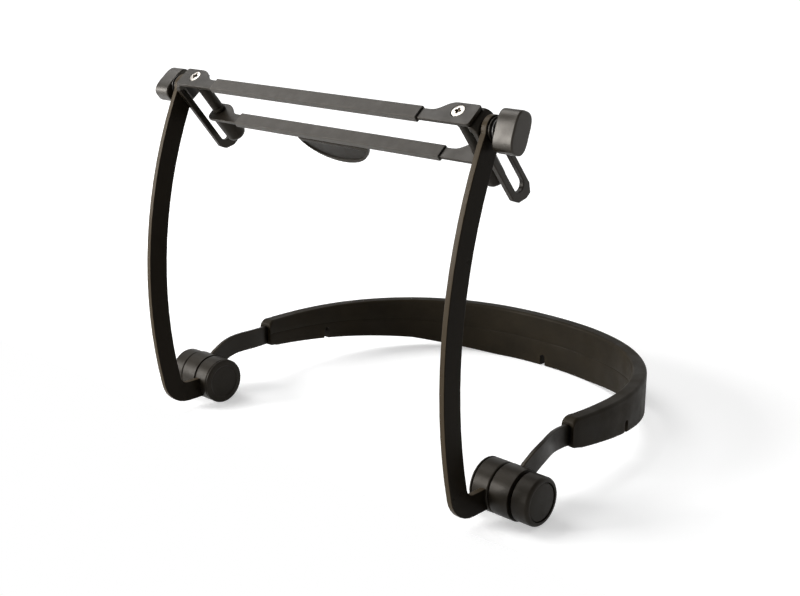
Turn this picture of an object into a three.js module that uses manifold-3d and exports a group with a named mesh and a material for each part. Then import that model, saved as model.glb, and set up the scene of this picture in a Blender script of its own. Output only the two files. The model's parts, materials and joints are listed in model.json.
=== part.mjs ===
// A neck-worn holder with a clamp of two rubber-sleeved bars. Millimetres, +Z up.
// X runs across the wearer, +Y towards the back of the neck. The origin is on the surface that
// the holder stands on, under the middle of its outline.

import * as THREE from 'three';
import { mergeVertices } from 'three/addons/utils/BufferGeometryUtils.js';
import Module from 'manifold-3d';

const wasm = await Module();
wasm.setup();

// Fits and cuts
const gap = 0.3;
const rubberFit = 0.2;
const overrun = 3;

// Swing hubs at the bottom of the arms
const hubRadius = 12.9;
const hubEdge = 0.8;
const boltRadius = 4;

// Arms: flat bars, bowed forwards and hooked back to the hubs
const armSpacing = 212.8;
const armThickness = 3.2;
const armWidth = 11.4;
const studHeight = 173.2;
const studForward = 10.8;
const bowForward = 37.2;
const bowLevel = 60.5;
const hookRadius = 11;
const hookLevel = 8.6;
const armEyeRadius = 8;
const armTipRadius = 6.6;

// Hub stack, outwards from the middle of the holder
const capThickness = 1.3;
const armHubInside = 5;
const armHubOutside = 0.9;
const boltHeadRadius = 6.4;
const boltHeadHeight = 1.9;
const boltHeadInset = 0.3;
const frictionThickness = 0.5;
const frictionRadius = 12.2;
const bandHubWidth = 10.8;
const washerThickness = 0.8;
const washerRadius = 8.2;
const lockKnobWidth = 9.8;
const lockKnobRadius = 12.2;
const lockKnobChamfer = 1.7;
const lockRimWidth = 2.4;
const lockCapThickness = 1.2;
const lockCapCrown = 0.4;
const lockInsertRadius = 6.2;
const lockInsertLength = 5.6;

// Neck strip and its rubber sleeve
const stripThickness = 2.3;
const stripWidth = 11.6;
const stripEyeRadius = 9;
const stripHubInset = 5.4;
const stripStraight = 13.5;
const stripRise = 14.4;
const stripRiseLength = 45;
const stripBackLevel = 5;
const bandInset = 1.4;
const bandReach = 113.7;
const bandStart = 68.8;
const sleeveThickness = 8.2;
const sleeveStart = 45.6;
const sleeveTop = 23.5;
const sleeveTopFall = 4.1;
const sleeveEndBottom = 7.2;
const sleeveKneeBottom = 5.6;
const sleeveKneeLength = 37;
const sleeveFootDepth = 8;
const slitWidth = 3.8;
const slitHeight = 7.4;
const slitDistance = 48;

// Cradle bars, seen square on: depth runs down and back from the upper bar's face
const cradleTiltDegrees = 38.5;
const screwHalfSpacing = 92.5;
const barThickness = 1.8;
const barPitch = 25.2;
const barFrontEdge = 7;
const barNeckBack = 0.9;
const padBack = 5;
const upperPadEnd = 102.8;
const upperPadCorner = 1.4;
const lowerPadEnd = 98;
const lowerPadCorner = 4;
const flareStart = 76.5;
const flareEnd = 90;
const barRubber = 0.9;
const barRubberEdge = 0.8;
const barSleeveLength = 145;

// Clamp screws with their posts, springs, nuts and cups
const screwRadius = 1.9;
const screwHeadRadius = 3.3;
const screwHeadDepth = 1.3;
const crossLength = 3.8;
const crossWidth = 1;
const crossDepth = 0.8;
const postRadius = 3.5;
const springCoilRadius = 2.75;
const springWireRadius = 0.4;
const springLength = 13.4;
const nutRadius = 3.4;
const nutHeight = 2.4;
const screwTipLength = 0.6;
const cupRadius = 5.8;
const cupTaper = 0.4;
const cupWall = 0.9;
const cupEndWall = 1.2;
const cupDome = 3.6;
const cupEndRoom = 0.8;

// Slotted side links
const linkArmGap = 0.5;
const linkThickness = 2.8;
const linkBend = 3.6;
const linkFrontEdge = 7.4;
const linkBackEdge = 6;
const linkEndWall = 6;
const linkNose = 4.6;
const linkFlangeLength = 17;
const flangeTaper = 4;
const flangeFrontEdge = 4;
const linkShoulder = 0.8;
const slotFront = 3.8;
const slotBack = 3.2;
const slotBottom = 48.3;

// Tilt studs, washers and knobs at the top of the arms
const studDepth = 8.9;
const studRadius = 3.6;
const threadRadius = 2.4;
const studHeadThickness = 2.2;
const studHeadHalfWidth = 4.7;
const studHeadAbove = 3.5;
const studHeadBelow = 4.5;
const clampDiscThickness = 0.9;
const clampDiscRadius = 5.9;
const ribbedWasherThickness = 0.7;
const ribbedWasherRadius = 5.4;
const lockRingThickness = 0.6;
const lockRingRadius = 5.9;
const tiltKnobWidth = 11;
const tiltKnobHalfLength = 9.8;
const tiltKnobHalfDepth = 5.7;
const tiltKnobRound = 0.8;
const rightKnobLeanDegrees = 19.5;
const leftKnobLeanDegrees = 50;
const tiltInsertRadius = 4.3;
const tiltInsertLength = 5.6;

// Thumb tab under the lower bar
const tabHalfWidth = 25;
const tabDepth = 13.6;
const tabThickness = 2.2;
const tabFrontEdge = 7.6;
const tabFootThickness = 1.2;
const tabFootWidth = 6.4;
const tabFootHalfLength = 19;
const tabRim = 2;
const tabDish = 0.7;

// Counts and shares
const half = 0.5;
const aroundLarge = 24;
const aroundSmall = 16;
const aroundOval = 40;
const hexagon = 6;
const bowSteps = 16;
const hookSteps = 7;
const bandSteps = 36;
const sweepSteps = 8;
const roundSteps = 4;
const bendSteps = 6;
const springTurns = 5;
const springStepsPerTurn = 8;
const springSides = 5;
const bandRoundness = 2.23;
const knobRoundness = 3.1;
const tabBulgeShare = 0.75;
const domePeakShare = 4 / 3;
const weldShare = 1e-3;
const quarterTurn = Math.PI * half;

// Places across the holder
const hubBore = boltRadius + gap;
const armInner = armSpacing * half;
const armOuter = armInner + armThickness;
const armHubStart = armInner - gap - armHubInside;
const armHubEnd = armOuter + gap + armHubOutside;
const capStart = armHubStart - gap - capThickness;
const frictionStart = armHubEnd + gap;
const bandHubStart = frictionStart + frictionThickness + gap;
const bandHubEnd = bandHubStart + bandHubWidth;
const stripEyeMiddle = bandHubStart + stripHubInset;
const bandHalfWidth = stripEyeMiddle - bandInset;
const washerStart = bandHubEnd + gap;
const lockKnobStart = washerStart + washerThickness + gap;
const lockKnobEnd = lockKnobStart + lockKnobWidth;
const beyond = lockKnobEnd + overrun;
const linkOuter = armInner - linkArmGap;
const linkInner = linkOuter - linkThickness;
const studHeadStart = linkInner - gap - studHeadThickness;
const clampDiscStart = armOuter + gap;
const ribbedWasherStart = clampDiscStart + clampDiscThickness + gap;
const lockRingStart = ribbedWasherStart + ribbedWasherThickness + gap;
const tiltKnobStart = lockRingStart + lockRingThickness + gap;
const tiltKnobEnd = tiltKnobStart + tiltKnobWidth;

// Depths below the upper bar's face
const screwHole = screwRadius + gap;
const flangeTop = barThickness + gap;
const flangeBottom = flangeTop + linkThickness;
const postTop = flangeBottom + gap;
const postBottom = barPitch - gap;
const lowerBarBottom = barPitch + barThickness;
const cupRim = lowerBarBottom + gap;
const nutTop = cupRim + springLength + gap;
const nutBottom = nutTop + nutHeight;
const screwTip = nutBottom + screwTipLength;
const cupInnerEnd = screwTip + cupEndRoom;
const cupEnd = cupInnerEnd + cupEndWall;
const tabTop = lowerBarBottom + barRubber + gap;
const slotTop = studDepth - studRadius - gap;
const linkEnd = slotBottom + linkEndWall;

// Places along the holder, from the hub axis
const bandBack = bandStart + bandReach;
const bandBackOuter = bandBack + sleeveThickness * half;
const armFront = bowForward + armWidth * half;
const sleeveKnee = bandBackOuter - sleeveKneeLength;
const slotMiddle = (slotBack - slotFront) * half;
const slotRadius = (slotBack + slotFront) * half;
const cradleTilt = THREE.MathUtils.degToRad(cradleTiltDegrees);

// Geometry and solids
function toSolid(geometry) {
  const bare = geometry.clone();
  bare.deleteAttribute('normal');
  bare.deleteAttribute('uv');
  const merged = mergeVertices(bare, gap * weldShare);
  const corners = Array.from(merged.index.array);
  const triangles = [];
  for (let i = 0; i < corners.length; i += 3) {
    const [a, b, c] = corners.slice(i, i + 3);
    if (a !== b && b !== c && a !== c) triangles.push(a, b, c);
  }
  return new wasm.Manifold(new wasm.Mesh({
    numProp: 3,
    vertProperties: new Float32Array(merged.attributes.position.array),
    triVerts: new Uint32Array(triangles),
  }));
}

function toGeometry(solid) {
  const surface = solid.getMesh();
  const geometry = new THREE.BufferGeometry();
  const positions = new Float32Array(surface.vertProperties);
  geometry.setAttribute('position', new THREE.BufferAttribute(positions, 3));
  geometry.setIndex(new THREE.BufferAttribute(new Uint32Array(surface.triVerts), 1));
  geometry.computeVertexNormals();
  return geometry;
}

function join(...solids) {
  return solids.reduce((whole, solid) => whole.add(solid));
}

function cut(solid, ...tools) {
  return tools.reduce((rest, tool) => rest.subtract(tool), solid);
}

// A lathe round the X axis: the outline lists (x, radius) pairs
function turned(outline, segments = aroundLarge) {
  const points = outline.map(([x, radius]) => new THREE.Vector2(radius, x));
  return new THREE.LatheGeometry(points, segments).rotateZ(-quarterTurn);
}

function rod(start, end, radius, segments = aroundSmall) {
  return turned([[start, 0], [start, radius], [end, radius], [end, 0]], segments);
}

function tube(start, end, inner, outer) {
  const outline = [[start, inner], [start, outer], [end, outer], [end, inner], [start, inner]];
  return turned(outline, aroundSmall);
}

// A hexagon with a round bore
function hexTube(start, end, inner, outer) {
  const bore = rod(start - overrun, end + overrun, inner, aroundLarge);
  return toGeometry(cut(toSolid(rod(start, end, outer, hexagon)), toSolid(bore)));
}

// A lathe round one clamp screw: the outline lists (depth, radius) pairs, deepest first
function upright(outline, side, segments = aroundSmall) {
  const points = outline.map(([depth, radius]) => new THREE.Vector2(radius, -depth));
  const geometry = new THREE.LatheGeometry(points, segments).rotateX(quarterTurn);
  return geometry.translate(side * screwHalfSpacing, 0, 0);
}

function box(x0, x1, y0, y1, z0, z1) {
  const geometry = new THREE.BoxGeometry(x1 - x0, y1 - y0, z1 - z0);
  return geometry.translate((x0 + x1) * half, (y0 + y1) * half, (z0 + z1) * half);
}

// An outline drawn in (y, z), as a plate from x0 to x1
function sidePlate(shape, x0, x1, curveSegments = aroundSmall) {
  const geometry = new THREE.ExtrudeGeometry(shape, { depth: x1 - x0, bevelEnabled: false, curveSegments });
  const turn = new THREE.Matrix4().makeBasis(
    new THREE.Vector3(0, 1, 0),
    new THREE.Vector3(0, 0, 1),
    new THREE.Vector3(1, 0, 0),
  );
  return geometry.applyMatrix4(turn).translate(x0, 0, 0);
}

// An outline drawn in (x, y), as a plate from z0 to z1
function flatPlate(shape, z0, z1, curveSegments = aroundSmall) {
  const geometry = new THREE.ExtrudeGeometry(shape, { depth: z1 - z0, bevelEnabled: false, curveSegments });
  return geometry.translate(0, 0, z0);
}

// An outline drawn in (x, z), as a plate from y0 to y1
function frontPlate(shape, y0, y1, curveSegments = aroundSmall) {
  const geometry = new THREE.ExtrudeGeometry(shape, { depth: y1 - y0, bevelEnabled: false, curveSegments });
  return geometry.rotateX(quarterTurn).translate(0, y1, 0);
}

function disc(y, z, radius) {
  return new THREE.Shape().absarc(y, z, radius, 0, Math.PI * 2);
}

// The outline of a ribbon of one width along a list of points
function ribbon(points, width) {
  const left = [];
  const right = [];
  points.forEach((point, i) => {
    const before = points[Math.max(i - 1, 0)];
    const after = points[Math.min(i + 1, points.length - 1)];
    const along = after.clone().sub(before).normalize();
    const across = new THREE.Vector2(-along.y, along.x).multiplyScalar(width * half);
    left.push(point.clone().add(across));
    right.push(point.clone().sub(across));
  });
  return new THREE.Shape([...left, ...right.reverse()]);
}

// A piece drawn for the right-hand side, mirrored for the left
function onSide(geometry, side) {
  if (side > 0) return geometry;
  const mirrored = geometry.clone().scale(-1, 1, 1);
  const corners = mirrored.index.array;
  for (let i = 0; i < corners.length; i += 3) {
    [corners[i], corners[i + 1]] = [corners[i + 1], corners[i]];
  }
  return mirrored;
}

// Neck band, drawn about the hub axis: its plan is an oval, a little squarer than an ellipse
function bandPoint(angle) {
  const across = Math.cos(angle);
  const along = Math.sin(angle);
  return new THREE.Vector2(
    bandHalfWidth * Math.sign(across) * Math.abs(across) ** (2 / bandRoundness),
    bandStart + bandReach * Math.sign(along) * Math.abs(along) ** (2 / bandRoundness),
  );
}

function bandAngle(y) {
  const along = (y - bandStart) / bandReach;
  return Math.asin(Math.sign(along) * Math.abs(along) ** (bandRoundness / 2));
}

function bandPlan() {
  const eyeFront = stripEyeRadius + overrun;
  const startAngle = bandAngle(sleeveStart);
  const back = [];
  for (let i = 0; i <= bandSteps; i += 1) {
    back.push(bandPoint(THREE.MathUtils.lerp(startAngle, Math.PI - startAngle, i / bandSteps)));
  }
  const forwards = back[1].clone().sub(back[0]).setLength((sleeveStart - stripStraight) * half);
  const swing = new THREE.CubicBezierCurve(
    new THREE.Vector2(stripEyeMiddle, stripStraight),
    new THREE.Vector2(stripEyeMiddle, (stripStraight + sleeveStart) * half),
    back[0].clone().sub(forwards),
    back[0],
  );
  const right = [
    new THREE.Vector2(stripEyeMiddle, -eyeFront),
    ...swing.getPoints(sweepSteps).slice(0, -1),
  ];
  const left = right.map((point) => new THREE.Vector2(-point.x, point.y)).reverse();
  return [...right, ...back, ...left];
}

function stripRiseLine() {
  const rise = new THREE.CubicBezierCurve(
    new THREE.Vector2(0, 0),
    new THREE.Vector2(stripRise, stripRise),
    new THREE.Vector2(stripRiseLength * half, stripRise),
    new THREE.Vector2(stripRiseLength, stripRise),
  );
  return [...rise.getPoints(sweepSteps), new THREE.Vector2(bandBackOuter, stripBackLevel)];
}

function stripSolid(clearance) {
  const tall = sleeveTop + hubRadius;
  const plan = toSolid(flatPlate(ribbon(bandPlan(), stripThickness + clearance * 2), -tall, tall));
  const line = toSolid(sidePlate(ribbon(stripRiseLine(), stripWidth + clearance * 2), -beyond, beyond));
  const eyes = toSolid(sidePlate(disc(0, 0, stripEyeRadius + clearance), -beyond, beyond, aroundSmall));
  return plan.intersect(join(line, eyes));
}

function neckStrip() {
  return toGeometry(cut(stripSolid(0), toSolid(rod(-beyond, beyond, hubBore))));
}

// The sleeve's lower edge falls evenly to a knee, then drops to the foot that it rests on
function sleeveBottom(y) {
  const share = (y - sleeveStart) / (sleeveKnee - sleeveStart);
  return THREE.MathUtils.lerp(sleeveEndBottom, -sleeveKneeBottom, share);
}

function sleeveSide() {
  const back = bandBackOuter + overrun;
  return new THREE.Shape([
    new THREE.Vector2(sleeveStart, sleeveEndBottom),
    new THREE.Vector2(sleeveKnee, -sleeveKneeBottom),
    new THREE.Vector2(bandBackOuter - sleeveFootDepth, -hubRadius),
    new THREE.Vector2(back, -hubRadius),
    new THREE.Vector2(back, sleeveTop - sleeveTopFall),
    new THREE.Vector2(sleeveStart, sleeveTop),
  ]);
}

// A slot up into the sleeve's lower edge, across the band at one place
function slit(x, y, bottom, turn) {
  const wide = slitWidth * half;
  const tool = box(-wide, wide, -sleeveThickness, sleeveThickness, bottom - overrun, bottom + slitHeight);
  return toSolid(tool.rotateZ(turn).translate(x, y, 0));
}

function neckSleeve() {
  const tall = sleeveTop + hubRadius + overrun;
  const plan = toSolid(flatPlate(ribbon(bandPlan(), sleeveThickness), -tall, tall));
  const side = toSolid(sidePlate(sleeveSide(), -beyond, beyond));
  const slitY = sleeveStart + slitDistance;
  const slitX = bandPoint(bandAngle(slitY)).x;
  return toGeometry(cut(
    plan.intersect(side),
    stripSolid(gap),
    slit(0, bandBack, -hubRadius, 0),
    slit(slitX, slitY, sleeveBottom(slitY), quarterTurn),
    slit(-slitX, slitY, sleeveBottom(slitY), quarterTurn),
  ));
}

// Hub pieces, drawn about the hub axis. The band hub is moulded round the strip's eye.
function bandHub() {
  const body = turned([
    [bandHubStart, hubBore],
    [bandHubStart, hubRadius - hubEdge],
    [bandHubStart + hubEdge, hubRadius],
    [bandHubEnd - hubEdge, hubRadius],
    [bandHubEnd, hubRadius - hubEdge],
    [bandHubEnd, hubBore],
    [bandHubStart, hubBore],
  ]);
  return toGeometry(cut(toSolid(body), stripSolid(gap)));
}

function pivotBolt() {
  const headStart = armHubStart + boltHeadInset;
  const head = toSolid(rod(headStart, headStart + boltHeadHeight, boltHeadRadius, hexagon));
  const shank = toSolid(rod(headStart, lockKnobStart + lockInsertLength, boltRadius));
  return toGeometry(join(head, shank));
}

function lockWasher() {
  return tube(washerStart, washerStart + washerThickness, hubBore, washerRadius);
}

function lockKnob() {
  const recess = lockKnobRadius - lockRimWidth;
  const floor = lockKnobEnd - lockCapThickness - gap;
  const pocket = lockInsertRadius + gap;
  const pocketEnd = lockKnobStart + gap + lockInsertLength + gap;
  return turned([
    [lockKnobStart, pocket],
    [lockKnobStart, lockKnobRadius - hubEdge],
    [lockKnobStart + hubEdge, lockKnobRadius],
    [lockKnobEnd - lockKnobChamfer, lockKnobRadius],
    [lockKnobEnd, lockKnobRadius - lockKnobChamfer],
    [lockKnobEnd, recess],
    [floor, recess],
    [floor, 0],
    [pocketEnd, 0],
    [pocketEnd, pocket],
    [lockKnobStart, pocket],
  ]);
}

function lockKnobInsert() {
  const start = lockKnobStart + gap;
  return hexTube(start, start + lockInsertLength, hubBore, lockInsertRadius);
}

function lockKnobCap() {
  const start = lockKnobEnd - lockCapThickness;
  const radius = lockKnobRadius - lockRimWidth - gap;
  return turned([
    [start, 0],
    [start, radius],
    [lockKnobEnd - lockCapCrown, radius],
    [lockKnobEnd, radius - lockCapThickness],
    [lockKnobEnd, 0],
  ]);
}

// Arms, drawn about the hub axis
function armLine() {
  const back = bowForward - studForward;
  const rise = studHeight - bowLevel;
  const bowRadius = (back * back + rise * rise) / (back * 2);
  const bowCentre = new THREE.Vector2(bowRadius - bowForward, bowLevel);
  const toHook = bowRadius - hookRadius;
  const hookAngle = Math.asin((bowLevel - hookLevel) / toHook);
  const hookCentre = new THREE.Vector2(bowCentre.x - toHook * Math.cos(hookAngle), hookLevel);
  const studAngle = -Math.asin(rise / bowRadius);
  const around = (centre, radius, angle) => new THREE.Vector2(
    centre.x - radius * Math.cos(angle),
    centre.y - radius * Math.sin(angle),
  );
  const points = [];
  for (let i = 0; i <= bowSteps; i += 1) {
    points.push(around(bowCentre, bowRadius, THREE.MathUtils.lerp(studAngle, hookAngle, i / bowSteps)));
  }
  for (let i = 1; i <= hookSteps; i += 1) {
    const angle = THREE.MathUtils.lerp(hookAngle, quarterTurn, i / hookSteps);
    points.push(around(hookCentre, hookRadius, angle));
  }
  points.push(new THREE.Vector2(0, armWidth * half - armEyeRadius));
  return points;
}

function armSolid(clearance) {
  const inner = armInner - clearance;
  const outer = armOuter + clearance;
  return join(
    toSolid(sidePlate(ribbon(armLine(), armWidth + clearance * 2), inner, outer)),
    toSolid(sidePlate(disc(0, 0, armEyeRadius + clearance), inner, outer)),
    toSolid(sidePlate(disc(-studForward, studHeight, armTipRadius + clearance), inner, outer)),
  );
}

function arm() {
  const hubHole = rod(armHubStart, beyond, hubBore);
  const studHole = rod(armHubStart, beyond, studRadius + gap).translate(0, -studForward, studHeight);
  return toGeometry(cut(armSolid(0), toSolid(hubHole), toSolid(studHole)));
}

function armHub() {
  const headRoom = armHubStart + boltHeadInset + boltHeadHeight + gap;
  const pocket = boltHeadRadius + gap;
  const body = turned([
    [armHubStart, pocket],
    [armHubStart, hubRadius - hubEdge],
    [armHubStart + hubEdge, hubRadius],
    [armHubEnd - hubEdge, hubRadius],
    [armHubEnd, hubRadius - hubEdge],
    [armHubEnd, hubBore],
    [headRoom, hubBore],
    [headRoom, pocket],
    [armHubStart, pocket],
  ]);
  return toGeometry(cut(toSolid(body), armSolid(gap)));
}

function hubCap() {
  return turned([
    [capStart, 0],
    [capStart, hubRadius - hubEdge],
    [capStart + hubEdge, hubRadius],
    [capStart + capThickness, hubRadius],
    [capStart + capThickness, 0],
  ]);
}

function frictionRing() {
  return tube(frictionStart, frictionStart + frictionThickness, hubBore, frictionRadius);
}

// Cradle pieces: x across, y across the bars' faces, z out of the upper bar's face

// Points round an outer corner of a bar, at its back edge (1) or at its front edge (-1)
function barCorner(end, edge, radius, which) {
  const points = [];
  for (let i = 0; i <= roundSteps; i += 1) {
    const turn = (i / roundSteps) * quarterTurn;
    const angle = which > 0 ? quarterTurn - turn : -turn;
    points.push(new THREE.Vector2(
      end - radius + radius * Math.cos(angle),
      edge - which * radius + radius * Math.sin(angle),
    ));
  }
  return points;
}

function barShape(end, corner) {
  const middle = (flareStart + flareEnd) * half;
  const flare = new THREE.CubicBezierCurve(
    new THREE.Vector2(flareStart, -barNeckBack),
    new THREE.Vector2(middle, -barNeckBack),
    new THREE.Vector2(middle, padBack),
    new THREE.Vector2(flareEnd, padBack),
  );
  const right = [
    ...flare.getPoints(sweepSteps),
    ...barCorner(end, padBack, corner, 1),
    ...barCorner(end, -barFrontEdge, corner, -1),
  ];
  const left = right.map((point) => new THREE.Vector2(-point.x, point.y)).reverse();
  return new THREE.Shape([...right, ...left]);
}

function upperBar() {
  const countersink = (side) => upright([
    [barThickness + overrun, 0],
    [barThickness + overrun, screwHole],
    [screwHeadDepth + gap, screwHole],
    [0, screwHeadRadius + gap],
    [-overrun, screwHeadRadius + gap],
    [-overrun, 0],
  ], side);
  const bar = toSolid(flatPlate(barShape(upperPadEnd, upperPadCorner), -barThickness, 0));
  return toGeometry(cut(bar, toSolid(countersink(1)), toSolid(countersink(-1))));
}

function lowerBar() {
  const hole = (side) => upright([
    [lowerBarBottom + overrun, 0],
    [lowerBarBottom + overrun, screwHole],
    [0, screwHole],
    [0, 0],
  ], side);
  const bar = toSolid(flatPlate(barShape(lowerPadEnd, lowerPadCorner), -lowerBarBottom, -barPitch));
  return toGeometry(cut(bar, toSolid(hole(1)), toSolid(hole(-1))));
}

function barSleeve(top) {
  const end = barSleeveLength * half;
  const bottom = top + barThickness;
  const outside = box(
    -end,
    end,
    -barFrontEdge - barRubberEdge,
    -barNeckBack + barRubberEdge,
    -bottom - barRubber,
    -top + barRubber,
  );
  const inside = box(
    -end - overrun,
    end + overrun,
    -barFrontEdge - rubberFit,
    -barNeckBack + rubberFit,
    -bottom - rubberFit,
    -top + rubberFit,
  );
  return toGeometry(cut(toSolid(outside), toSolid(inside)));
}

function clampScrew(side) {
  const screw = upright([
    [screwTip, 0],
    [screwTip, screwRadius],
    [screwHeadDepth, screwRadius],
    [0, screwHeadRadius],
    [0, 0],
  ], side);
  const x = side * screwHalfSpacing;
  const long = crossLength * half;
  const narrow = crossWidth * half;
  const across = box(x - long, x + long, -narrow, narrow, -crossDepth, overrun);
  const along = box(x - narrow, x + narrow, -long, long, -crossDepth, overrun);
  return toGeometry(cut(toSolid(screw), toSolid(across), toSolid(along)));
}

function guidePost(side) {
  return upright([
    [postBottom, screwHole],
    [postBottom, postRadius],
    [postTop, postRadius],
    [postTop, screwHole],
    [postBottom, screwHole],
  ], side);
}

function stopNut(side) {
  const outline = [[nutBottom, 0], [nutBottom, nutRadius], [nutTop, nutRadius], [nutTop, 0]];
  const nut = upright(outline, side, hexagon);
  const bore = upright([[screwTip, 0], [screwTip, screwHole], [0, screwHole], [0, 0]], side);
  return toGeometry(cut(toSolid(nut), toSolid(bore)));
}

function springCup(side) {
  const domeStart = cupEnd - cupDome;
  const endRadius = cupRadius - cupTaper;
  const outside = [[cupEnd, 0]];
  for (let i = roundSteps - 1; i >= 0; i -= 1) {
    const angle = (i / roundSteps) * quarterTurn;
    outside.push([domeStart + cupDome * Math.sin(angle), endRadius * Math.cos(angle)]);
  }
  const body = upright([...outside, [cupRim, cupRadius], [cupRim, 0]], side);
  const room = upright([
    [cupInnerEnd, 0],
    [cupInnerEnd, screwHole],
    [nutBottom + gap, nutRadius + gap],
    [domeStart, endRadius - cupWall],
    [cupRim, cupRadius - cupWall],
    [cupRim - overrun, cupRadius - cupWall],
    [cupRim - overrun, 0],
  ], side);
  return toGeometry(cut(toSolid(body), toSolid(room)));
}

function clampSpring(side) {
  const run = springLength - springWireRadius * 2;
  const steps = springTurns * springStepsPerTurn;
  const positions = [];
  for (let i = 0; i <= steps; i += 1) {
    const around = (i / springStepsPerTurn) * Math.PI * 2;
    const depth = cupRim + springWireRadius + (run * i) / steps;
    for (let j = 0; j < springSides; j += 1) {
      const roll = (j / springSides) * Math.PI * 2;
      const radius = springCoilRadius + springWireRadius * Math.cos(roll);
      positions.push(
        side * screwHalfSpacing + radius * Math.cos(around),
        radius * Math.sin(around),
        springWireRadius * Math.sin(roll) - depth,
      );
    }
  }
  const faces = [];
  for (let i = 0; i < steps; i += 1) {
    for (let j = 0; j < springSides; j += 1) {
      const next = (j + 1) % springSides;
      const a = i * springSides + j;
      const b = i * springSides + next;
      faces.push(a, a + springSides, b, b, a + springSides, b + springSides);
    }
  }
  const last = steps * springSides;
  for (let j = 1; j < springSides - 1; j += 1) {
    faces.push(0, j, j + 1);
    faces.push(last, last + j + 1, last + j);
  }
  const geometry = new THREE.BufferGeometry();
  geometry.setAttribute('position', new THREE.Float32BufferAttribute(positions, 3));
  geometry.setIndex(faces);
  return geometry;
}

// A plate with a long slot, whose bent top lies under the upper bar's end
function slotLink() {
  const bendX = linkOuter - linkBend;
  const bendZ = -flangeTop - linkBend;
  const below = -linkEnd - overrun;
  const section = new THREE.Shape();
  section.moveTo(linkOuter - linkFlangeLength, -flangeTop);
  section.lineTo(linkOuter - linkFlangeLength, -flangeBottom);
  section.lineTo(bendX, -flangeBottom);
  section.absarc(bendX, bendZ, linkBend - linkThickness, quarterTurn, 0, true);
  section.lineTo(linkInner, below);
  section.lineTo(linkOuter, below);
  section.lineTo(linkOuter, bendZ);
  section.absarc(bendX, bendZ, linkBend, 0, quarterTurn, false);
  const bent = frontPlate(section, -linkFrontEdge, linkBackEdge, bendSteps);
  const outline = new THREE.Shape([
    new THREE.Vector2(-linkFrontEdge, bendZ),
    new THREE.Vector2(-linkFrontEdge, -slotBottom),
    new THREE.Vector2(-linkFrontEdge + linkNose * half, -linkEnd + linkNose * half),
    new THREE.Vector2(0, -linkEnd),
    new THREE.Vector2(linkBackEdge - linkNose * half, -linkEnd),
    new THREE.Vector2(linkBackEdge, -linkEnd + linkNose),
    new THREE.Vector2(linkBackEdge, bendZ),
    new THREE.Vector2(linkBackEdge - linkShoulder, 0),
    new THREE.Vector2(-linkFrontEdge + linkShoulder, 0),
  ]);
  const slot = new THREE.Shape();
  slot.moveTo(slotMiddle - slotRadius, -slotTop);
  slot.lineTo(slotMiddle - slotRadius, -slotBottom + slotRadius);
  slot.absarc(slotMiddle, -slotBottom + slotRadius, slotRadius, Math.PI, Math.PI * 2, false);
  slot.lineTo(slotMiddle + slotRadius, -slotTop);
  const hole = upright([
    [flangeBottom + gap, 0],
    [flangeBottom + gap, screwHole],
    [0, screwHole],
    [0, 0],
  ], 1);
  const flangeEnd = linkOuter - linkFlangeLength - overrun;
  const taper = new THREE.Shape([
    new THREE.Vector2(bendX, -linkFrontEdge),
    new THREE.Vector2(bendX - flangeTaper, -flangeFrontEdge),
    new THREE.Vector2(flangeEnd, -flangeFrontEdge),
    new THREE.Vector2(flangeEnd, -linkFrontEdge - overrun),
    new THREE.Vector2(bendX, -linkFrontEdge - overrun),
  ]);
  const blank = toSolid(bent).intersect(toSolid(sidePlate(outline, 0, beyond)));
  return toGeometry(cut(
    blank,
    toSolid(sidePlate(slot, linkInner - gap, beyond)),
    toSolid(flatPlate(taper, -flangeBottom - gap, gap - flangeTop)),
    toSolid(hole),
  ));
}

function tabOutline(inset) {
  const wide = tabHalfWidth - inset;
  const low = (tabDepth - 2 * inset) * domePeakShare;
  const outline = new THREE.Shape();
  outline.moveTo(-wide, 0);
  outline.bezierCurveTo(-wide * tabBulgeShare, -low, wide * tabBulgeShare, -low, wide, 0);
  return outline;
}

function thumbTab() {
  const back = tabThickness - tabFrontEdge;
  const plate = frontPlate(tabOutline(0), -tabFrontEdge, back);
  const dish = frontPlate(tabOutline(tabRim), -tabFrontEdge - overrun, -tabFrontEdge + tabDish);
  const foot = box(
    -tabFootHalfLength,
    tabFootHalfLength,
    -tabFrontEdge,
    -tabFrontEdge + tabFootWidth,
    -tabFootThickness,
    0,
  );
  dish.translate(0, 0, -tabRim);
  const tab = cut(join(toSolid(plate), toSolid(foot)), toSolid(dish));
  return toGeometry(tab).translate(0, 0, -tabTop);
}

// Tilt pieces, drawn about the stud's axis
function tiltStud() {
  const headEnd = studHeadStart + studHeadThickness;
  const shoulder = linkOuter + gap;
  const head = box(
    studHeadStart,
    headEnd,
    -studHeadHalfWidth,
    studHeadHalfWidth,
    -studHeadBelow,
    studHeadAbove,
  );
  const flats = box(studHeadStart, shoulder, gap - slotRadius, slotRadius - gap, -studRadius, studRadius);
  const neck = toSolid(rod(studHeadStart, shoulder, studRadius)).intersect(toSolid(flats));
  const shank = toSolid(rod(shoulder, armOuter, studRadius));
  const thread = toSolid(rod(shoulder, tiltKnobStart + tiltInsertLength, threadRadius));
  return toGeometry(join(toSolid(head), neck, shank, thread));
}

function clampDisc() {
  return tube(clampDiscStart, clampDiscStart + clampDiscThickness, threadRadius + gap, clampDiscRadius);
}

function ribbedWasher() {
  const end = ribbedWasherStart + ribbedWasherThickness;
  return tube(ribbedWasherStart, end, threadRadius + gap, ribbedWasherRadius);
}

function lockRing() {
  return tube(lockRingStart, lockRingStart + lockRingThickness, threadRadius + gap, lockRingRadius);
}

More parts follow.
